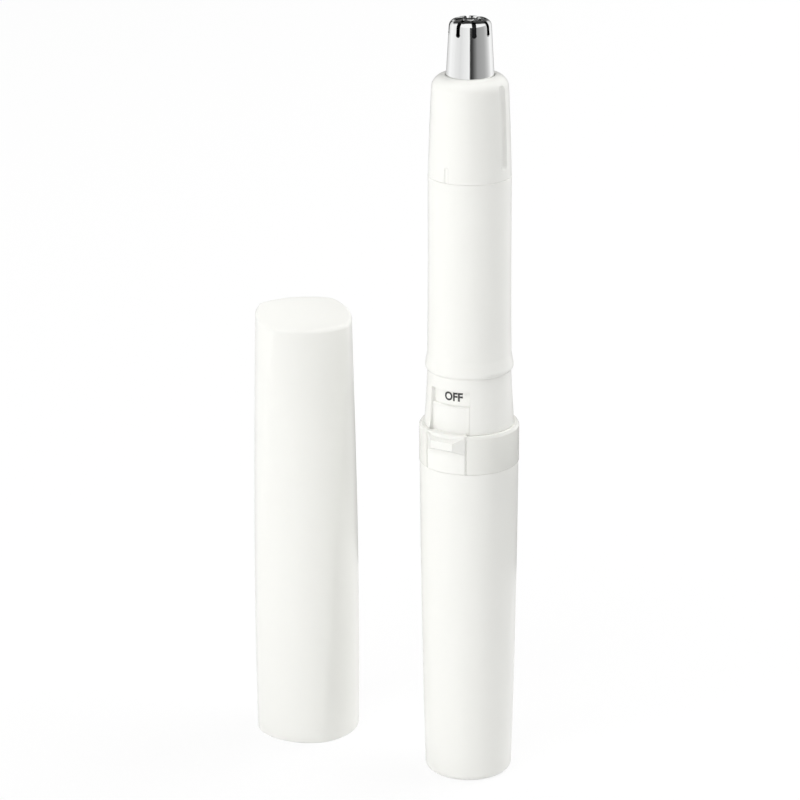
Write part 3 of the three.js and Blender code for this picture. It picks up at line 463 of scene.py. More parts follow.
def block(name, half_width, front, back, low, high):
    """Box that is centred on the front, between two depths and two heights."""
    near, far = Vector((-half_width, -front, low)), Vector((half_width, -back, high))
    clear_selection()
    bpy.ops.mesh.primitive_cube_add(size=1, location=(near + far) / 2 * MM)
    piece = name_piece(name)
    piece.scale = (far - near) * MM
    return settle(piece)


def finish(piece, node, body, name):
    """Give a piece its finish and let it stand for a frame node on a body."""
    piece.data.materials.clear()
    piece.data.materials.append(material_named(name))
    if node:
        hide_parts(node)
    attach(piece, body)


# Materials

def new_node(tree, kind, **settings):
    node = tree.nodes.new(kind)
    for key, value in settings.items():
        setattr(node, key, value)
    return node


def set_inputs(node, **values):
    for key, value in values.items():
        node.inputs[key.replace("_", " ")].default_value = value
    return node


def opaque(shade):
    """Opaque colour from a grey level or from red, green and blue."""
    return (*shade, 1) if isinstance(shade, tuple) else (shade, shade, shade, 1)


def ramp(tree, stops, interpolation="LINEAR"):
    """Colour ramp through (position, colour or grey level) stops."""
    node = new_node(tree, "ShaderNodeValToRGB")
    node.color_ramp.interpolation = interpolation
    elements = node.color_ramp.elements
    elements[0].color = opaque(stops[0][1])
    elements[1].position = stops[-1][0]
    elements[1].color = opaque(stops[-1][1])
    for position, shade in stops[1:-1]:
        elements.new(position).color = opaque(shade)
    return node


def seen_rays(tree):
    """Node whose value is 1 for what the camera sees, itself or in a reflection."""
    path = new_node(tree, "ShaderNodeLightPath")
    seen = new_node(tree, "ShaderNodeMath", operation="MAXIMUM")
    tree.links.new(path.outputs["Is Camera Ray"], seen.inputs[0])
    tree.links.new(path.outputs["Is Glossy Ray"], seen.inputs[1])
    return seen


def height_share(tree, low, high):
    """Share of the way from one height to another, from 0 to 1."""
    place = new_node(tree, "ShaderNodeTexCoord")
    parts = new_node(tree, "ShaderNodeSeparateXYZ")
    share = set_inputs(new_node(tree, "ShaderNodeMapRange"), From_Min=low * MM, From_Max=high * MM)
    tree.links.new(place.outputs["Object"], parts.inputs["Vector"])
    tree.links.new(parts.outputs["Z"], share.inputs["Value"])
    return share.outputs["Result"]


def surface_group(kind):
    """Fine relief, grained or drawn out to upright streaks, with faint changes of tone and polish."""
    found = bpy.data.node_groups.get(kind)
    if found:
        return found
    stretch, relief, broad, values = SURFACES[kind]
    group = bpy.data.node_groups.new(kind, "ShaderNodeTree")
    sockets = group.interface
    sockets.new_socket(name="Color", in_out="INPUT", socket_type="NodeSocketColor")
    for label, value in values.items():
        socket = sockets.new_socket(name=label, in_out="INPUT", socket_type="NodeSocketFloat")
        socket.default_value = value
    for label, sort in (("Color", "Color"), ("Roughness", "Float"), ("Normal", "Vector")):
        sockets.new_socket(name=label, in_out="OUTPUT", socket_type="NodeSocket" + sort)
    link = group.links.new
    source = new_node(group, "NodeGroupInput")
    result = new_node(group, "NodeGroupOutput")
    place = new_node(group, "ShaderNodeTexCoord")
    stretched = set_inputs(new_node(group, "ShaderNodeMapping"), Scale=(1, 1, stretch))
    link(place.outputs["Object"], stretched.inputs["Vector"])
    fine = set_inputs(new_node(group, "ShaderNodeTexNoise"), Detail=3, Roughness=0.6)
    link(stretched.outputs["Vector"], fine.inputs["Vector"])
    link(source.outputs["Relief Scale"], fine.inputs["Scale"])
    bump = set_inputs(new_node(group, "ShaderNodeBump"), Distance=relief * MM)
    link(fine.outputs["Fac"], bump.inputs["Height"])
    link(source.outputs["Relief Depth"], bump.inputs["Strength"])
    link(bump.outputs["Normal"], result.inputs["Normal"])
    tones = fine
    if broad:
        tones = set_inputs(new_node(group, "ShaderNodeTexNoise"), Scale=90, Detail=4, Roughness=0.55)
        link(place.outputs["Object"], tones.inputs["Vector"])
    tone = new_node(group, "ShaderNodeMath", operation="MULTIPLY")
    link(tones.outputs["Fac"], tone.inputs[0])
    link(source.outputs["Tone Spread"], tone.inputs[1])
    shade = new_node(group, "ShaderNodeMix", data_type="RGBA", blend_type="MULTIPLY")
    shade.inputs[7].default_value = opaque(0)
    link(tone.outputs["Value"], shade.inputs["Factor"])
    link(source.outputs["Color"], shade.inputs[6])
    link(shade.outputs[2], result.inputs["Color"])
    spread = new_node(group, "ShaderNodeMath", operation="MULTIPLY_ADD")
    link(tones.outputs["Fac"], spread.inputs[0])
    link(source.outputs["Roughness Spread"], spread.inputs[1])
    link(source.outputs["Roughness"], spread.inputs[2])
    link(spread.outputs["Value"], result.inputs["Roughness"])
    return group


def new_material(name):
    material = bpy.data.materials.new(name)
    material.use_nodes = True
    return material


def grouped_material(name, kind, color, coat=0, edge=1, **values):
    """Material of a surface group, whose colour falls to an edge level of painted shade where it turns away
    from the eye.
    """
    material = new_material(name)
    tree = material.node_tree
    link = tree.links.new
    shader = tree.nodes["Principled BSDF"]
    surface = new_node(tree, "ShaderNodeGroup", node_tree=surface_group(kind), name="surface")
    surface.inputs["Color"].default_value = (*color, 1)
    set_inputs(surface, **values)
    # Painted shade: the base colour darkens towards the rims where the surface turns away from the eye
    facing = new_node(tree, "ShaderNodeLayerWeight")
    painted_edge_shade = set_inputs(
        new_node(tree, "ShaderNodeMapRange"), From_Min=EDGE_SHADE_START, From_Max=EDGE_SHADE_END, To_Min=1, To_Max=edge)
    link(facing.outputs["Facing"], painted_edge_shade.inputs["Value"])
    shaded_color = new_node(tree, "ShaderNodeVectorMath", operation="SCALE")
    link(surface.outputs["Color"], shaded_color.inputs["Vector"])
    link(painted_edge_shade.outputs["Result"], shaded_color.inputs["Scale"])
    link(shaded_color.outputs["Vector"], shader.inputs["Base Color"])
    link(surface.outputs["Roughness"], shader.inputs["Roughness"])
    link(surface.outputs["Normal"], shader.inputs["Normal"])
    metallic = 1 if kind == "drawn_metal" else 0
    set_inputs(shader, Metallic=metallic, Coat_Weight=coat, Coat_Roughness=COAT_ROUGHNESS)
    return material


def material_named(name):
    """Make a finish the first time that it is asked for."""
    found = bpy.data.materials.get(name)
    if found:
        return found
    _, kind, color, values = FINISHES[name]
    if isinstance(color, str):
        color = getattr(bpy.context.scene.trimmer_finishes, color)
    return grouped_material(name, kind, color, **values)


def print_jacket():
    """Give the cell's jacket its pale band and bare metal ends, by height on the cell."""
    tree = material_named("printed_jacket").node_tree
    share = height_share(tree, foot_of("aaa_cell"), top_of("aaa_cell"))
    targets = (
        (JACKET_BANDS, tree.nodes["surface"].inputs["Color"]),
        (JACKET_BARE, tree.nodes["Principled BSDF"].inputs["Metallic"]),
    )
    for stops, target in targets:
        bands = ramp(tree, stops, "CONSTANT")
        tree.links.new(share, bands.inputs["Fac"])
        tree.links.new(bands.outputs["Color"], target)


# Pieces

class TRIMMER_OT_battery_cover(bpy.types.Operator):
    """Turn the long battery cover with its rounded foot"""

    bl_idname = "trimmer.battery_cover"
    bl_label = "Battery Cover"

    def execute(self, context):
        grip = context.scene.trimmer_grip
        wall, floor, seat_low, seat_bore = 1.1, 1.4, 52.75, 7.97
        lip_rounding, bore_rounding, steps = 0.08, 0.12, 12
        profile = [
            (grip.foot_radius / 2, 0),
            (grip.foot_radius, 0, grip.foot_rounding),
            *bow((grip.foot_radius, 0), grip.middle_radius, (grip.high_radius, COVER_HIGH), steps)[1:-1],
            (grip.high_radius, COVER_HIGH, lip_rounding),
            (seat_bore, COVER_HIGH, bore_rounding),
            (seat_bore, seat_low),
            (grip.high_radius - wall, seat_low - wall),
            (grip.middle_radius - wall, COVER_HIGH / 2),
            (grip.foot_radius - wall, floor, grip.foot_rounding),
            (grip.foot_radius / 2, floor),
        ]
        piece = smooth(turned("battery_cover_shell", profile))
        finish(piece, "battery_cover", "cover", "white_moulding")
        return {"FINISHED"}


class TRIMMER_OT_collar_ring(bpy.types.Operator):
    """Turn the collar ring and open its front gap for the switch"""

    bl_idname = "trimmer.collar_ring"
    bl_label = "Collar Ring"

    def execute(self, context):
        grip = context.scene.trimmer_grip
        bore, seam, foot_rounding, softness = 8.03, 0.04, 0.08, 0.06
        low = COVER_HIGH + seam
        profile = [
            (bore, low),
            (grip.collar_radius, low, foot_rounding),
            (grip.collar_radius, COLLAR_HIGH - grip.collar_bevel, BEVEL_LOW_ROUNDING),
            (grip.collar_radius - BEVEL_DEPTH, COLLAR_HIGH, BEVEL_HIGH_ROUNDING),
            (bore, COLLAR_HIGH),
        ]
        piece = turned("collar_band", profile, closed=True)
        section = oblong(
            bore - OVERRUN, grip.collar_radius + OVERRUN, COLLAR_LOW - OVERRUN, COLLAR_HIGH + OVERRUN)
        cut(piece, wedge("collar_gap", section, grip.collar_gap))
        smooth(soften(piece, softness))
        finish(piece, "collar_ring", "body", "collar_moulding")
        return {"FINISHED"}


class TRIMMER_OT_neck(bpy.types.Operator):
    """Turn the neck with its spigots and sink the switch window into its front"""

    bl_idname = "trimmer.neck"
    bl_label = "Neck"

    def execute(self, context):
        grip = context.scene.trimmer_grip
        bore, seat, core, spigot = 6.1, 7.92, 8, 6.8
        seat_low, groove_low, groove_high, groove = 52.8, 56.8, 57.8, 7.12
        neck_low, neck_middle, neck_high = 8.11, 7.76, 7.52
        chamfer, spigot_rounding, clearance = 0.4, 0.3, 0.01
        slot_half, slot_low, slot_high = 1.28, 66.42, 71.38
        low, high = COLLAR_HIGH + clearance, BARREL_LOW - clearance
        profile = [
            (bore, seat_low),
            (seat - chamfer, seat_low),
            (seat, seat_low + chamfer),
            (seat, groove_low),
            (groove, groove_low),
            (groove, groove_high),
            (seat, groove_high),
            (seat, COLLAR_LOW),
            (core, COLLAR_LOW),
            (core, low),
            *bow((neck_low, low), neck_middle, (neck_high, high)),
            (spigot, high),
            (spigot, NECK_HIGH, spigot_rounding),
            (bore, NECK_HIGH),
        ]
        piece = turned("neck_cone", profile, closed=True)
        reach = grip.collar_radius + OVERRUN
        section = oblong(grip.window_floor, reach, COLLAR_LOW, grip.window_high)
        cut(piece, wedge("window_tool", section, grip.window_angle))
        self.round_window(piece, grip)
        cut(piece, block("peg_slot", slot_half, reach, bore / 2, slot_low, slot_high))
        smooth(piece)
        finish(piece, "neck_shell", "body", "white_moulding")
        return {"FINISHED"}

    def round_window(self, piece, grip):
        """Round the window's outer edges: those that lie on its bounds, outside the core."""
        rounding, steps = 0.5, 5
        places = [vertex.co / MM for vertex in piece.data.vertices]
        edit_only(piece, "EDGE", lambda edge: all(self.on_bound(places[end], grip) for end in edge.vertices))
        bpy.ops.mesh.bevel(offset=rounding * MM, segments=steps, clamp_overlap=True)
        leave_edit()

    def on_bound(self, place, grip):
        depth, lift, near, near_angle = 0.3, 0.02, 0.01, 0.001
        radius, angle = math.hypot(place.x, place.y), math.atan2(place.x, -place.y)
        outside = radius > grip.window_floor + depth and place.z > COLLAR_HIGH + lift
        upper = abs(place.z - grip.window_high) < near and abs(angle) < grip.window_angle + near_angle
        side = abs(abs(angle) - grip.window_angle) < near_angle and place.z < grip.window_high + near
        return outside and (upper or side)


class TRIMMER_OT_switch(bpy.types.Operator):
    """Build the slide switch: its pad, wings, thumb block and raised grip"""

    bl_idname = "trimmer.switch"
    bl_label = "Slide Switch"

    def execute(self, context):
        grip = context.scene.trimmer_grip
        clearance, seam, high, softness = 0.05, 0.08, 67.93, 0.07
        flange_radius, flange_drop = 8.84, 0.1
        pad_depth, pad_high, pad_rounding = 0.42, 73, 0.36
        wing_radius, wing_low, wing_high = 7.95, 60.92, 65.02
        peg_half, peg_root, peg_back, peg_low, peg_high = 1, 0.2, 5.05, 66.7, 68.7
        knob_angle, flange_angle, pad_angle, wing_angle = map(math.radians, (25.4, 27.2, 30.3, 29.8))
        inner, foot = grip.window_floor + clearance, COVER_HIGH + seam
        piece = wedge("switch_slider", [
            (inner, foot),
            (grip.collar_radius, foot),
            (grip.collar_radius, high - grip.collar_bevel, BEVEL_LOW_ROUNDING),
            (grip.collar_radius - BEVEL_DEPTH, high, BEVEL_HIGH_ROUNDING),
            (inner, high),
        ], knob_angle)
        join_on(piece, wedge(
            "switch_flange", oblong(inner, flange_radius, foot, high - flange_drop), flange_angle))
        join_on(piece, self.grip_bump())
        join_on(piece, wedge("switch_pad", [
            (inner, foot),
            (inner + pad_depth, foot),
            (inner + pad_depth, pad_high, pad_rounding),
            (inner, pad_high),
        ], pad_angle))
        join_on(piece, wedge("switch_wings", oblong(inner, wing_radius, wing_low, wing_high), wing_angle))
        join_on(piece, block("switch_peg", peg_half, inner + peg_root, peg_back, peg_low, peg_high))
        smooth(soften(piece, softness))
        finish(piece, "switch_knob", "switch", "white_moulding")
        return {"FINISHED"}

    def grip_bump(self):
        """Block whose front face is drawn in on all four sides."""
        half_width, front, back, low, high = 3.87, 9.81, 8.16, 64.45, 67.65
        face_half_width, face_height, lift, forward = 2.2, 1.43, 0.035, -0.9
        bump = block("grip_bump", half_width, front, back, low, high)
        edit_only(bump, "FACE", lambda face: face.normal.y < forward)
        bpy.ops.transform.resize(value=(face_half_width / half_width, 1, face_height / (high - low)))
        bpy.ops.transform.translate(value=(0, 0, lift * MM))
        leave_edit()
        return bump


class TRIMMER_OT_switch_words(bpy.types.Operator):
    """Print the switch words on the neck behind the switch"""

    bl_idname = "trimmer.switch_words"
    bl_label = "Switch Words"

    def execute(self, context):
        for word in SWITCH_WORDS:
            self.word(*word)
        return {"FINISHED"}

    def word(self, text, across, up, width, height):
        letter_size, boldness, before, lift, thickness = 2.4, 0.075, 9, 0.03, 0.02
        clear_selection()
        bpy.ops.object.text_add(rotation=UPRIGHT)
        letters = bpy.context.object
        letters.data.body = text
        letters.data.align_x = "CENTER"
        letters.data.align_y = "CENTER"
        letters.data.size = letter_size * MM
        letters.data.offset = boldness * MM
        pick(letters)
        bpy.ops.object.convert(target="MESH")
        piece = settle(name_piece("word_" + text.lower()))
        span = piece.dimensions
        piece.scale = (width * MM / span.x, 1, height * MM / span.z)
        settle(piece)
        corners = [Vector(corner) for corner in piece.bound_box]
        middle = (corners[0] + corners[6]) / 2
        piece.location = Vector((across, -before, up)) * MM - middle
        settle(piece)
        edit(piece)
        bpy.ops.mesh.quads_convert_to_tris()
        bpy.ops.mesh.subdivide(number_cuts=2)
        leave_edit()
        modify(
            piece, "SHRINKWRAP", wrap_method="PROJECT", use_project_y=True, use_positive_direction=True,
            use_negative_direction=False, target=bpy.data.objects["neck_cone"], offset=lift * MM)
        modify(piece, "SOLIDIFY", thickness=thickness * MM, offset=0)
        face_out(piece)
        finish(piece, None, "body", "switch_ink")


class TRIMMER_OT_upper_barrel(bpy.types.Operator):
    """Turn the upper barrel with its rounded rim and bulkhead"""

    bl_idname = "trimmer.upper_barrel"
    bl_label = "Upper Barrel"

    def execute(self, context):
        socket, bore, socket_high = 6.85, 6.35, 85.6
        rim = ((7.6, 0, 0.05), (7.93, 0.42, 0.3), (7.94, 0.95, 0.4), (7.55, 3, 3.2))
        low_radius, middle_radius, high_radius, wall_rise = 7.54, 7.41, 7.44, 3.4
        top_rounding, bore_rounding = 0.07, 0.1
        bulkhead_low, bulkhead_high, shaft_hole = 103.45, 106.05, 1.1
        seal_radius, seal_depth, boss_radius, boss_depth = 2.4, 1.2, 2.15, 0.75
        key_half, key_front, key_back, key_low = 0.7, 6.75, 3, 107.5
        wall = bow((low_radius, BARREL_LOW + wall_rise), middle_radius, (high_radius, BARREL_HIGH))
        profile = [
            (socket, BARREL_LOW),
            *[(radius, BARREL_LOW + rise, rounding) for radius, rise, rounding in rim],
            *wall[1:-1],
            (high_radius, BARREL_HIGH, top_rounding),
            (bore, BARREL_HIGH, bore_rounding),
            (bore, bulkhead_high),
            (seal_radius, bulkhead_high),
            (seal_radius, bulkhead_high - seal_depth),
            (shaft_hole, bulkhead_high - seal_depth),
            (shaft_hole, bulkhead_low + boss_depth),
            (boss_radius, bulkhead_low + boss_depth),
            (boss_radius, bulkhead_low),
            (bore, bulkhead_low),
            (bore, socket_high),
            (socket, socket_high),
        ]
        piece = turned("barrel_tube", profile, closed=True)
        cut(piece, block("keyway", key_half, key_front, key_back, key_low, BARREL_HIGH + OVERRUN))
        smooth(piece)
        finish(piece, "upper_barrel", "body", "white_moulding")
        return {"FINISHED"}


class TRIMMER_OT_blade_head(bpy.types.Operator):
    """Turn the blade head and sink its side flutes and seat mark"""

    bl_idname = "trimmer.blade_head"
    bl_label = "Blade Head"

    def execute(self, context):
        head = context.scene.trimmer_head
        seam, spigot_low, ledge, shoulder_drop = 0.012, 107.62, 123.95, 0.35
        chamber, spigot, mouth, seat = 5.4, 6.3, 4.25, 4.77
        low_radius, middle_radius, high_radius = 7.39, 7.11, 6.72
        foot_rounding, shoulder_rounding, mouth_rounding = 0.07, 2.4, 0.3
        flute_rise, flute_drop = 1.5, 0.4
        mark_radius, mark_depth, mark_drop, mark_rise = 0.6, 0.25, 1.2, 3
        key_half, key_front, key_back, key_height = 0.6, 6.65, 5.6, 4.5
        softness, soft_angle = 0.09, math.radians(30)
        low, shoulder = BARREL_HIGH + seam, HEAD_HIGH - shoulder_drop
        profile = [
            (chamber, spigot_low),
            (spigot, spigot_low),
            (spigot, low),
            (low_radius, low, foot_rounding),
            *bow((low_radius, low), middle_radius, (high_radius, shoulder))[1:-2],
            (high_radius, shoulder, shoulder_rounding),
            (mouth, HEAD_HIGH, mouth_rounding),
            (seat, ledge),
            (chamber, ledge),
        ]
        piece = turned("head_shell", profile, closed=True)
        for side in (-1, 1):
            cut(piece, self.hollow(
                middle_radius, head.flute_radius, head.flute_depth, low + flute_rise, HEAD_HIGH - flute_drop,
                head.turn + side * math.pi / 2))
        cut(piece, self.hollow(
            low_radius, mark_radius, mark_depth, low - mark_drop, low + mark_rise, head.turn))
        join_on(piece, block("head_key", key_half, key_front, key_back, spigot_low, spigot_low + key_height))
        smooth(soften(piece, softness, segments=3, angle=soft_angle))
        finish(piece, "head_housing", "blade_head", "white_moulding")
        return {"FINISHED"}

    def hollow(self, wall, radius, depth, low, high, turn):
        """Ball drawn out to a long round-ended tool that leans with the head's taper."""
        taper, taper_drop = 0.67, 0.47
        clear_selection()
        bpy.ops.mesh.primitive_uv_sphere_add(segments=64, ring_count=32, radius=radius * MM)
        tool = name_piece("hollow_tool")
        stretch = (high - low - 2 * radius) / 2
        for vertex in tool.data.vertices:
            vertex.co.z += stretch * MM * (1 if vertex.co.z > 0 else -1)
        tool.rotation_euler.x = -math.atan2(taper, HEAD_HIGH - taper_drop - BARREL_HIGH)
        tool.location = Vector((0, depth - wall - radius, (low + high) / 2)) * MM
        settle(tool)
        tool.rotation_euler.z = turn
        return settle(tool)


class TRIMMER_OT_outer_blade(bpy.types.Operator):
    """Turn the steel blade tube and saw the slots over its crown"""

    bl_idname = "trimmer.outer_blade"
    bl_label = "Outer Blade"

    def execute(self, context):
        head = context.scene.trimmer_head
        wall, foot, tip, tip_drop = 0.35, 4.73, 3.68, 0.3
        flange, flange_low, flange_high = 5.3, 123, 123.9
        crown, dish, dish_drop, bore = 1.6, 0.95, 0.32, 0.3
        hub, hub_tip, hub_drop = 0.5, 0.2, 0.2
        tip_rounding, inner_rounding, crown_rounding, dish_rounding, hub_rounding = 1.15, 0.8, 0.3, 0.15, 0.1
        segments, softness = 160, 0.04
        slope = (tip - foot) / (BLADE_HIGH - flange_low)
        dish_high = BLADE_HIGH - dish_drop
        profile = [
            (bore, dish_high - wall),
            (dish, dish_high - wall),
            (crown, BLADE_HIGH - wall),
            (tip - wall, BLADE_HIGH - tip_drop - wall, inner_rounding),
            (foot - wall, flange_low),
            (flange, flange_low),
            (flange, flange_high),
            (foot + slope * (flange_high - flange_low), flange_high),
            (tip, BLADE_HIGH - tip_drop, tip_rounding),
            (crown, BLADE_HIGH, crown_rounding),
            (dish, dish_high, dish_rounding),
            (hub, dish_high),
            (hub, BLADE_HIGH - hub_drop, hub_rounding),
            (hub_tip, BLADE_HIGH - hub_drop),
        ]
        piece = turned("blade_tube", profile, segments=segments)
        for index in range(head.slot_count):
            cut(piece, self.slot(head, index))
        smooth(soften(piece, softness))
        finish(piece, "outer_blade", "blade_head", "polished_blade")
        return {"FINISHED"}

    def slot(self, head, index):
        """Upright slot with a round end, from the hub out past the tube."""
        half, inner, outer, bulge = head.slot_width / 2, 1.15, 7, 0.06
        end = head.slot_low + half
        tool = block("slot_tool", half, outer, inner, end, BLADE_HIGH + OVERRUN)
        clear_selection()
        bpy.ops.mesh.primitive_cylinder_add(
            vertices=32, radius=(half + bulge) * MM, depth=(outer - inner) * MM,
            location=Vector((0, -(inner + outer) / 2, end)) * MM, rotation=UPRIGHT)
        join_on(tool, settle(name_piece("slot_end")))
        tool.rotation_euler.z = head.turn + index / head.slot_count * math.tau
        return settle(tool)


class TRIMMER_OT_cap(bpy.types.Operator):
    """Raise the cap's twisted rounded square and hollow it from below"""

    bl_idname = "trimmer.cap"
    bl_label = "Cap"

    def execute(self, context):
        sizes = context.scene.trimmer_cap
        rim, top_wall, mouth, end, hollow_rounding = 0.3, 1.3, 8.3, 7.6, 2
        columns, start_radius = 144, 9
        levels = self.levels(sizes, rim)
        clear_selection()
        bpy.ops.mesh.primitive_circle_add(vertices=columns, radius=start_radius * MM)
        piece = name_piece("cap_shell")
        edit(piece)
        bpy.ops.mesh.edge_face_add()
        for _ in levels[1:]:
            bpy.ops.mesh.extrude_edges_move(TRANSFORM_OT_translate={"value": (0, 0, MM)})
        bpy.ops.mesh.edge_face_add()
        leave_edit()
        for vertex in piece.data.vertices:
            height, inset = levels[round(vertex.co.z / MM)]
            angle = math.atan2(vertex.co.y, vertex.co.x)
            radius, turn = self.section(sizes, height, inset, angle)
            uphill = angle + turn - math.radians(sizes.turn[2]) - sizes.slant_turn
            rise = radius * math.cos(uphill) * math.tan(sizes.slant) * height / sizes.height
            across = Vector((math.cos(angle + turn), math.sin(angle + turn))) * radius
            vertex.co = Vector((*across, height + rise)) * MM
        face_out(piece)
        hollow_high = sizes.height - top_wall - end * math.tan(sizes.slant)
        cut(piece, turned("cap_hollow", [
            (mouth / 2, -OVERRUN),
            (mouth, -OVERRUN),
            (mouth, 0),
            (end, hollow_high, hollow_rounding),
            (end / 3, hollow_high),
        ]))
        smooth(piece, CAP_SMOOTH_ANGLE)
        piece.location = Vector((*sizes.centre, 0)) * MM
        settle(piece)
        finish(piece, "cap", "loose_cap", "white_moulding")
        return {"FINISHED"}

    def levels(self, sizes, rim):
        """Heights of the cap's rings, each with how far it is drawn in for a rounded edge."""
        rows, arc_steps, edge = 40, 5, sizes.edge
        quarter = [step / arc_steps * math.pi / 2 for step in range(arc_steps + 1)]
        wall_high = sizes.height - edge
        return [
            *[(rim * (1 - math.cos(angle)), rim * (1 - math.sin(angle))) for angle in quarter],
            *[(rim + (wall_high - rim) * row / rows, 0) for row in range(1, rows)],
            *[(wall_high + edge * math.sin(angle), edge * (1 - math.cos(angle))) for angle in quarter],
        ]

    def section(self, sizes, height, inset, angle):
        """Radius of the rounded square towards an angle, and the turn of the square."""
        share = height / sizes.height
        face = bowed(*sizes.face, share) - inset
        corner = bowed(*sizes.corner, share) - inset
        turn = math.radians(bowed(*sizes.turn, share)) + math.pi / 4
        side = math.pi / 2
        near = angle - round(angle / side) * side
        beyond = near - math.copysign(side, near)
        reach = [self.arc(face, corner, away) for away in (near, beyond)]
        soft = sum(math.exp(-(radius - face) / sizes.ridge) for radius in reach)
        return face - sizes.ridge * math.log(soft), turn

    def arc(self, face, corner, angle):
        """Distance to a bowed face at an angle from its middle."""
        half_chord = corner / math.sqrt(2)
        rise = face - half_chord
        bend = (half_chord ** 2 + rise ** 2) / (2 * rise)
        offset = face - bend
        return offset * math.cos(angle) + math.sqrt(bend ** 2 - (offset * math.sin(angle)) ** 2)


class TRIMMER_OT_inner_works(bpy.types.Operator):
    """Smooth copies of the works inside, each with its own finish"""

    bl_idname = "trimmer.inner_works"
    bl_label = "Inner Works"

    def execute(self, context):
        print_jacket()
        for work in INNER_WORKS:
            self.dress(*work)
        return {"FINISHED"}

    def dress(self, node, body, name, rounding):
        copy = bpy.data.objects.new(node + "_fine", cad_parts[node].data.copy())
        bpy.context.scene.collection.objects.link(copy)
        edit(copy)
        bpy.ops.mesh.remove_doubles(threshold=WELD_DISTANCE * MM)
        bpy.ops.mesh.tris_convert_to_quads()
        leave_edit()
        if rounding:
            soften(copy, rounding)
        smooth(copy)
        finish(copy, node, body, name)


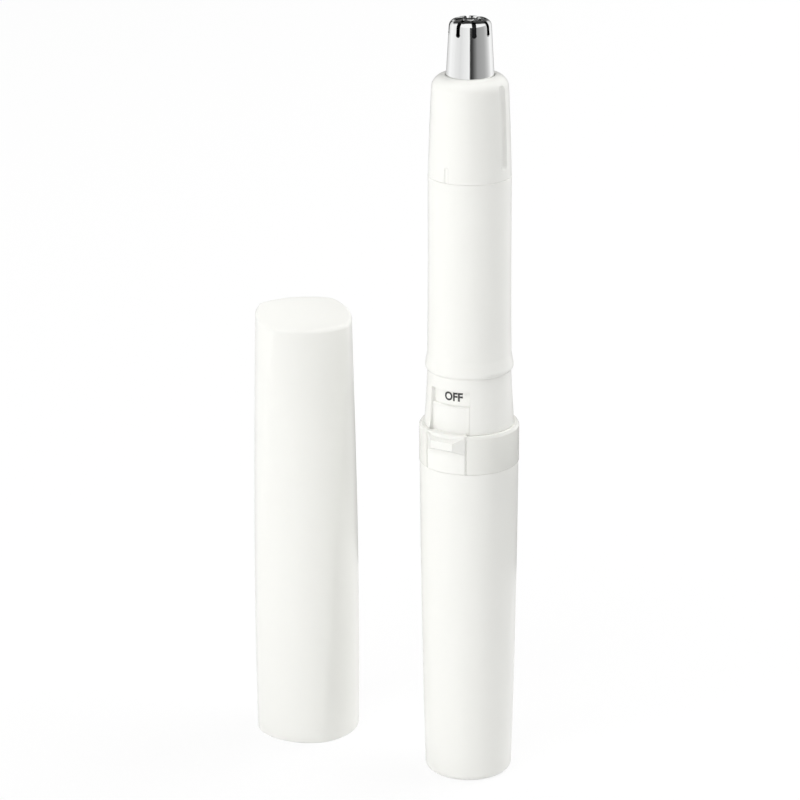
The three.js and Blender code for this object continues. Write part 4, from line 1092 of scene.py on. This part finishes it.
class TRIMMER_OT_stage(bpy.types.Operator):
    """Lay the floor, light the scene and set the camera"""

    bl_idname = "trimmer.stage"
    bl_label = "Stage"

    def execute(self, context):
        self.camera(context)
        self.floor(context)
        self.painted_reflection_ring()
        self.world(context)
        for lamp in LAMPS:
            self.lamp(*lamp)
        context.scene.view_settings.view_transform = "Standard"
        return {"FINISHED"}

    def camera(self, context):
        place, sensor, lens, near = (0.3124, -0.5357, 0.2872), 36, 164.193, 0.02
        azimuth, tilt, roll = map(math.radians, (31.4, 70.849, -0.2204))
        clear_selection()
        bpy.ops.object.camera_add(location=place)
        camera = bpy.context.object
        camera.name = "photo_camera"
        spin = Matrix.Rotation(azimuth, 3, "Z") @ Matrix.Rotation(tilt, 3, "X")
        camera.rotation_euler = (spin @ Matrix.Rotation(roll, 3, "Z")).to_euler()
        camera.data.sensor_width = sensor
        camera.data.lens = lens
        camera.data.clip_start = near
        context.scene.camera = camera

    def floor(self, context):
        clear_selection()
        bpy.ops.mesh.primitive_plane_add(size=FLOOR_SIDE)
        floor = name_piece("floor")
        floor.data.materials.append(self.floor_material(context.scene.trimmer_finishes.floor))

    def floor_material(self, color):
        """Matt floor that shows nearly white to the camera, yet keeps its shadow."""
        glow_share, roughness = 0.88, 0.9
        material = new_material("studio_floor")
        tree = material.node_tree
        link = tree.links.new
        shader = set_inputs(
            tree.nodes["Principled BSDF"],
            Base_Color=(*color, 1), Roughness=roughness, Specular_IOR_Level=0)
        glow = set_inputs(new_node(tree, "ShaderNodeEmission"), Strength=1)
        share = new_node(tree, "ShaderNodeMath", operation="MULTIPLY")
        share.inputs[1].default_value = glow_share
        link(seen_rays(tree).outputs["Value"], share.inputs[0])
        mix = new_node(tree, "ShaderNodeMixShader")
        link(share.outputs["Value"], mix.inputs["Fac"])
        link(shader.outputs["BSDF"], mix.inputs[1])
        link(glow.outputs["Emission"], mix.inputs[2])
        link(mix.outputs["Shader"], tree.nodes["Material Output"].inputs["Surface"])
        return material

    def painted_reflection_ring(self):
        """Glowing ring that only reflections see, painting reflections that are darker or lighter by turn
        and height.
        """
        radius, height = 100, 400
        camera_turn = math.radians(58.6)
        clear_selection()
        bpy.ops.mesh.primitive_cylinder_add(
            vertices=96, radius=radius * MM, depth=height * MM, location=(0, 0, height / 2 * MM),
            end_fill_type="NOTHING")
        ring = settle(name_piece("painted_reflection_cards"))
        for ray in ("camera", "diffuse", "transmission", "volume_scatter", "shadow"):
            setattr(ring, "visible_" + ray, False)
        material = new_material("painted_reflection_cards")
        tree = material.node_tree
        link = tree.links.new
        tree.nodes.remove(tree.nodes["Principled BSDF"])
        place = new_node(tree, "ShaderNodeTexCoord")
        turn = set_inputs(new_node(tree, "ShaderNodeMapping"), Rotation=(0, 0, camera_turn))
        link(place.outputs["Object"], turn.inputs["Vector"])
        around = new_node(tree, "ShaderNodeTexGradient", gradient_type="RADIAL")
        link(turn.outputs["Vector"], around.inputs["Vector"])
        shade = self.reflection_grey(tree, around, GRIP_REFLECTIONS)
        for level, stops in REFLECTION_BANDS:
            mix = new_node(tree, "ShaderNodeMix", data_type="RGBA")
            link(height_share(tree, level - REFLECTION_BLEND, level + REFLECTION_BLEND), mix.inputs["Factor"])
            link(shade, mix.inputs[6])
            link(self.reflection_grey(tree, around, stops), mix.inputs[7])
            shade = mix.outputs[2]
        # The ring glows though it is no lamp: these greys are painted reflections
        glow = set_inputs(new_node(tree, "ShaderNodeEmission"), Strength=1)
        link(shade, glow.inputs["Color"])
        link(glow.outputs["Emission"], tree.nodes["Material Output"].inputs["Surface"])
        ring.data.materials.append(material)

    def reflection_grey(self, tree, around, stops):
        """Grey of the painted reflections round the ring."""
        grey = ramp(tree, stops)
        tree.links.new(around.outputs["Fac"], grey.inputs["Fac"])
        return grey.outputs["Color"]

    def world(self, context):
        world = bpy.data.worlds.new("studio")
        context.scene.world = world
        world.use_nodes = True
        tree = world.node_tree
        background = set_inputs(tree.nodes["Background"], Color=opaque(1))
        level = set_inputs(new_node(tree, "ShaderNodeMapRange"), To_Min=WORLD_LEVEL, To_Max=1)
        tree.links.new(seen_rays(tree).outputs["Value"], level.inputs["Value"])
        tree.links.new(level.outputs["Result"], background.inputs["Strength"])

    def lamp(self, name, place, side, power):
        clear_selection()
        bpy.ops.object.light_add(type="AREA", location=place)
        lamp = bpy.context.object
        lamp.name = name
        lamp.data.size = side
        lamp.data.energy = power
        aim = Vector(LAMP_AIM) - Vector(place)
        lamp.rotation_euler = aim.to_track_quat("-Z", "Y").to_euler()
        lamp.visible_glossy = False


class TRIMMER_PT_pieces(bpy.types.Panel):
    """List the trimmer's pieces and sizes"""

    bl_idname = "TRIMMER_PT_pieces"
    bl_label = "Trimmer"
    bl_space_type = "VIEW_3D"
    bl_region_type = "UI"
    bl_category = "Trimmer"

    def draw(self, context):
        for operator in OPERATORS:
            self.layout.operator(operator.bl_idname)
        for name in GROUPS:
            group = getattr(context.scene, name)
            box = self.layout.box()
            for setting in group.__annotations__:
                box.prop(group, setting)


OPERATORS = (
    TRIMMER_OT_stage,
    TRIMMER_OT_battery_cover,
    TRIMMER_OT_collar_ring,
    TRIMMER_OT_neck,
    TRIMMER_OT_switch,
    TRIMMER_OT_switch_words,
    TRIMMER_OT_upper_barrel,
    TRIMMER_OT_blade_head,
    TRIMMER_OT_outer_blade,
    TRIMMER_OT_cap,
    TRIMMER_OT_inner_works,
)
GROUPS = {
    "trimmer_grip": GripSizes,
    "trimmer_head": HeadSizes,
    "trimmer_cap": CapSizes,
    "trimmer_finishes": Finishes,
}
CLASSES = (*GROUPS.values(), *OPERATORS, TRIMMER_PT_pieces)


def register():
    for entry in CLASSES:
        bpy.utils.register_class(entry)
    for name, group in GROUPS.items():
        setattr(bpy.types.Scene, name, PointerProperty(type=group))


def unregister():
    for name in GROUPS:
        delattr(bpy.types.Scene, name)
    for entry in reversed(CLASSES):
        bpy.utils.unregister_class(entry)


def main():
    register()
    bpy.ops.trimmer.stage()
    bpy.ops.trimmer.battery_cover()
    bpy.ops.trimmer.collar_ring()
    bpy.ops.trimmer.neck()
    bpy.ops.trimmer.switch()
    bpy.ops.trimmer.switch_words()
    bpy.ops.trimmer.upper_barrel()
    bpy.ops.trimmer.blade_head()
    bpy.ops.trimmer.outer_blade()
    bpy.ops.trimmer.cap()
    bpy.ops.trimmer.inner_works()
    clear_selection()


if __name__ == "__main__":
    main()
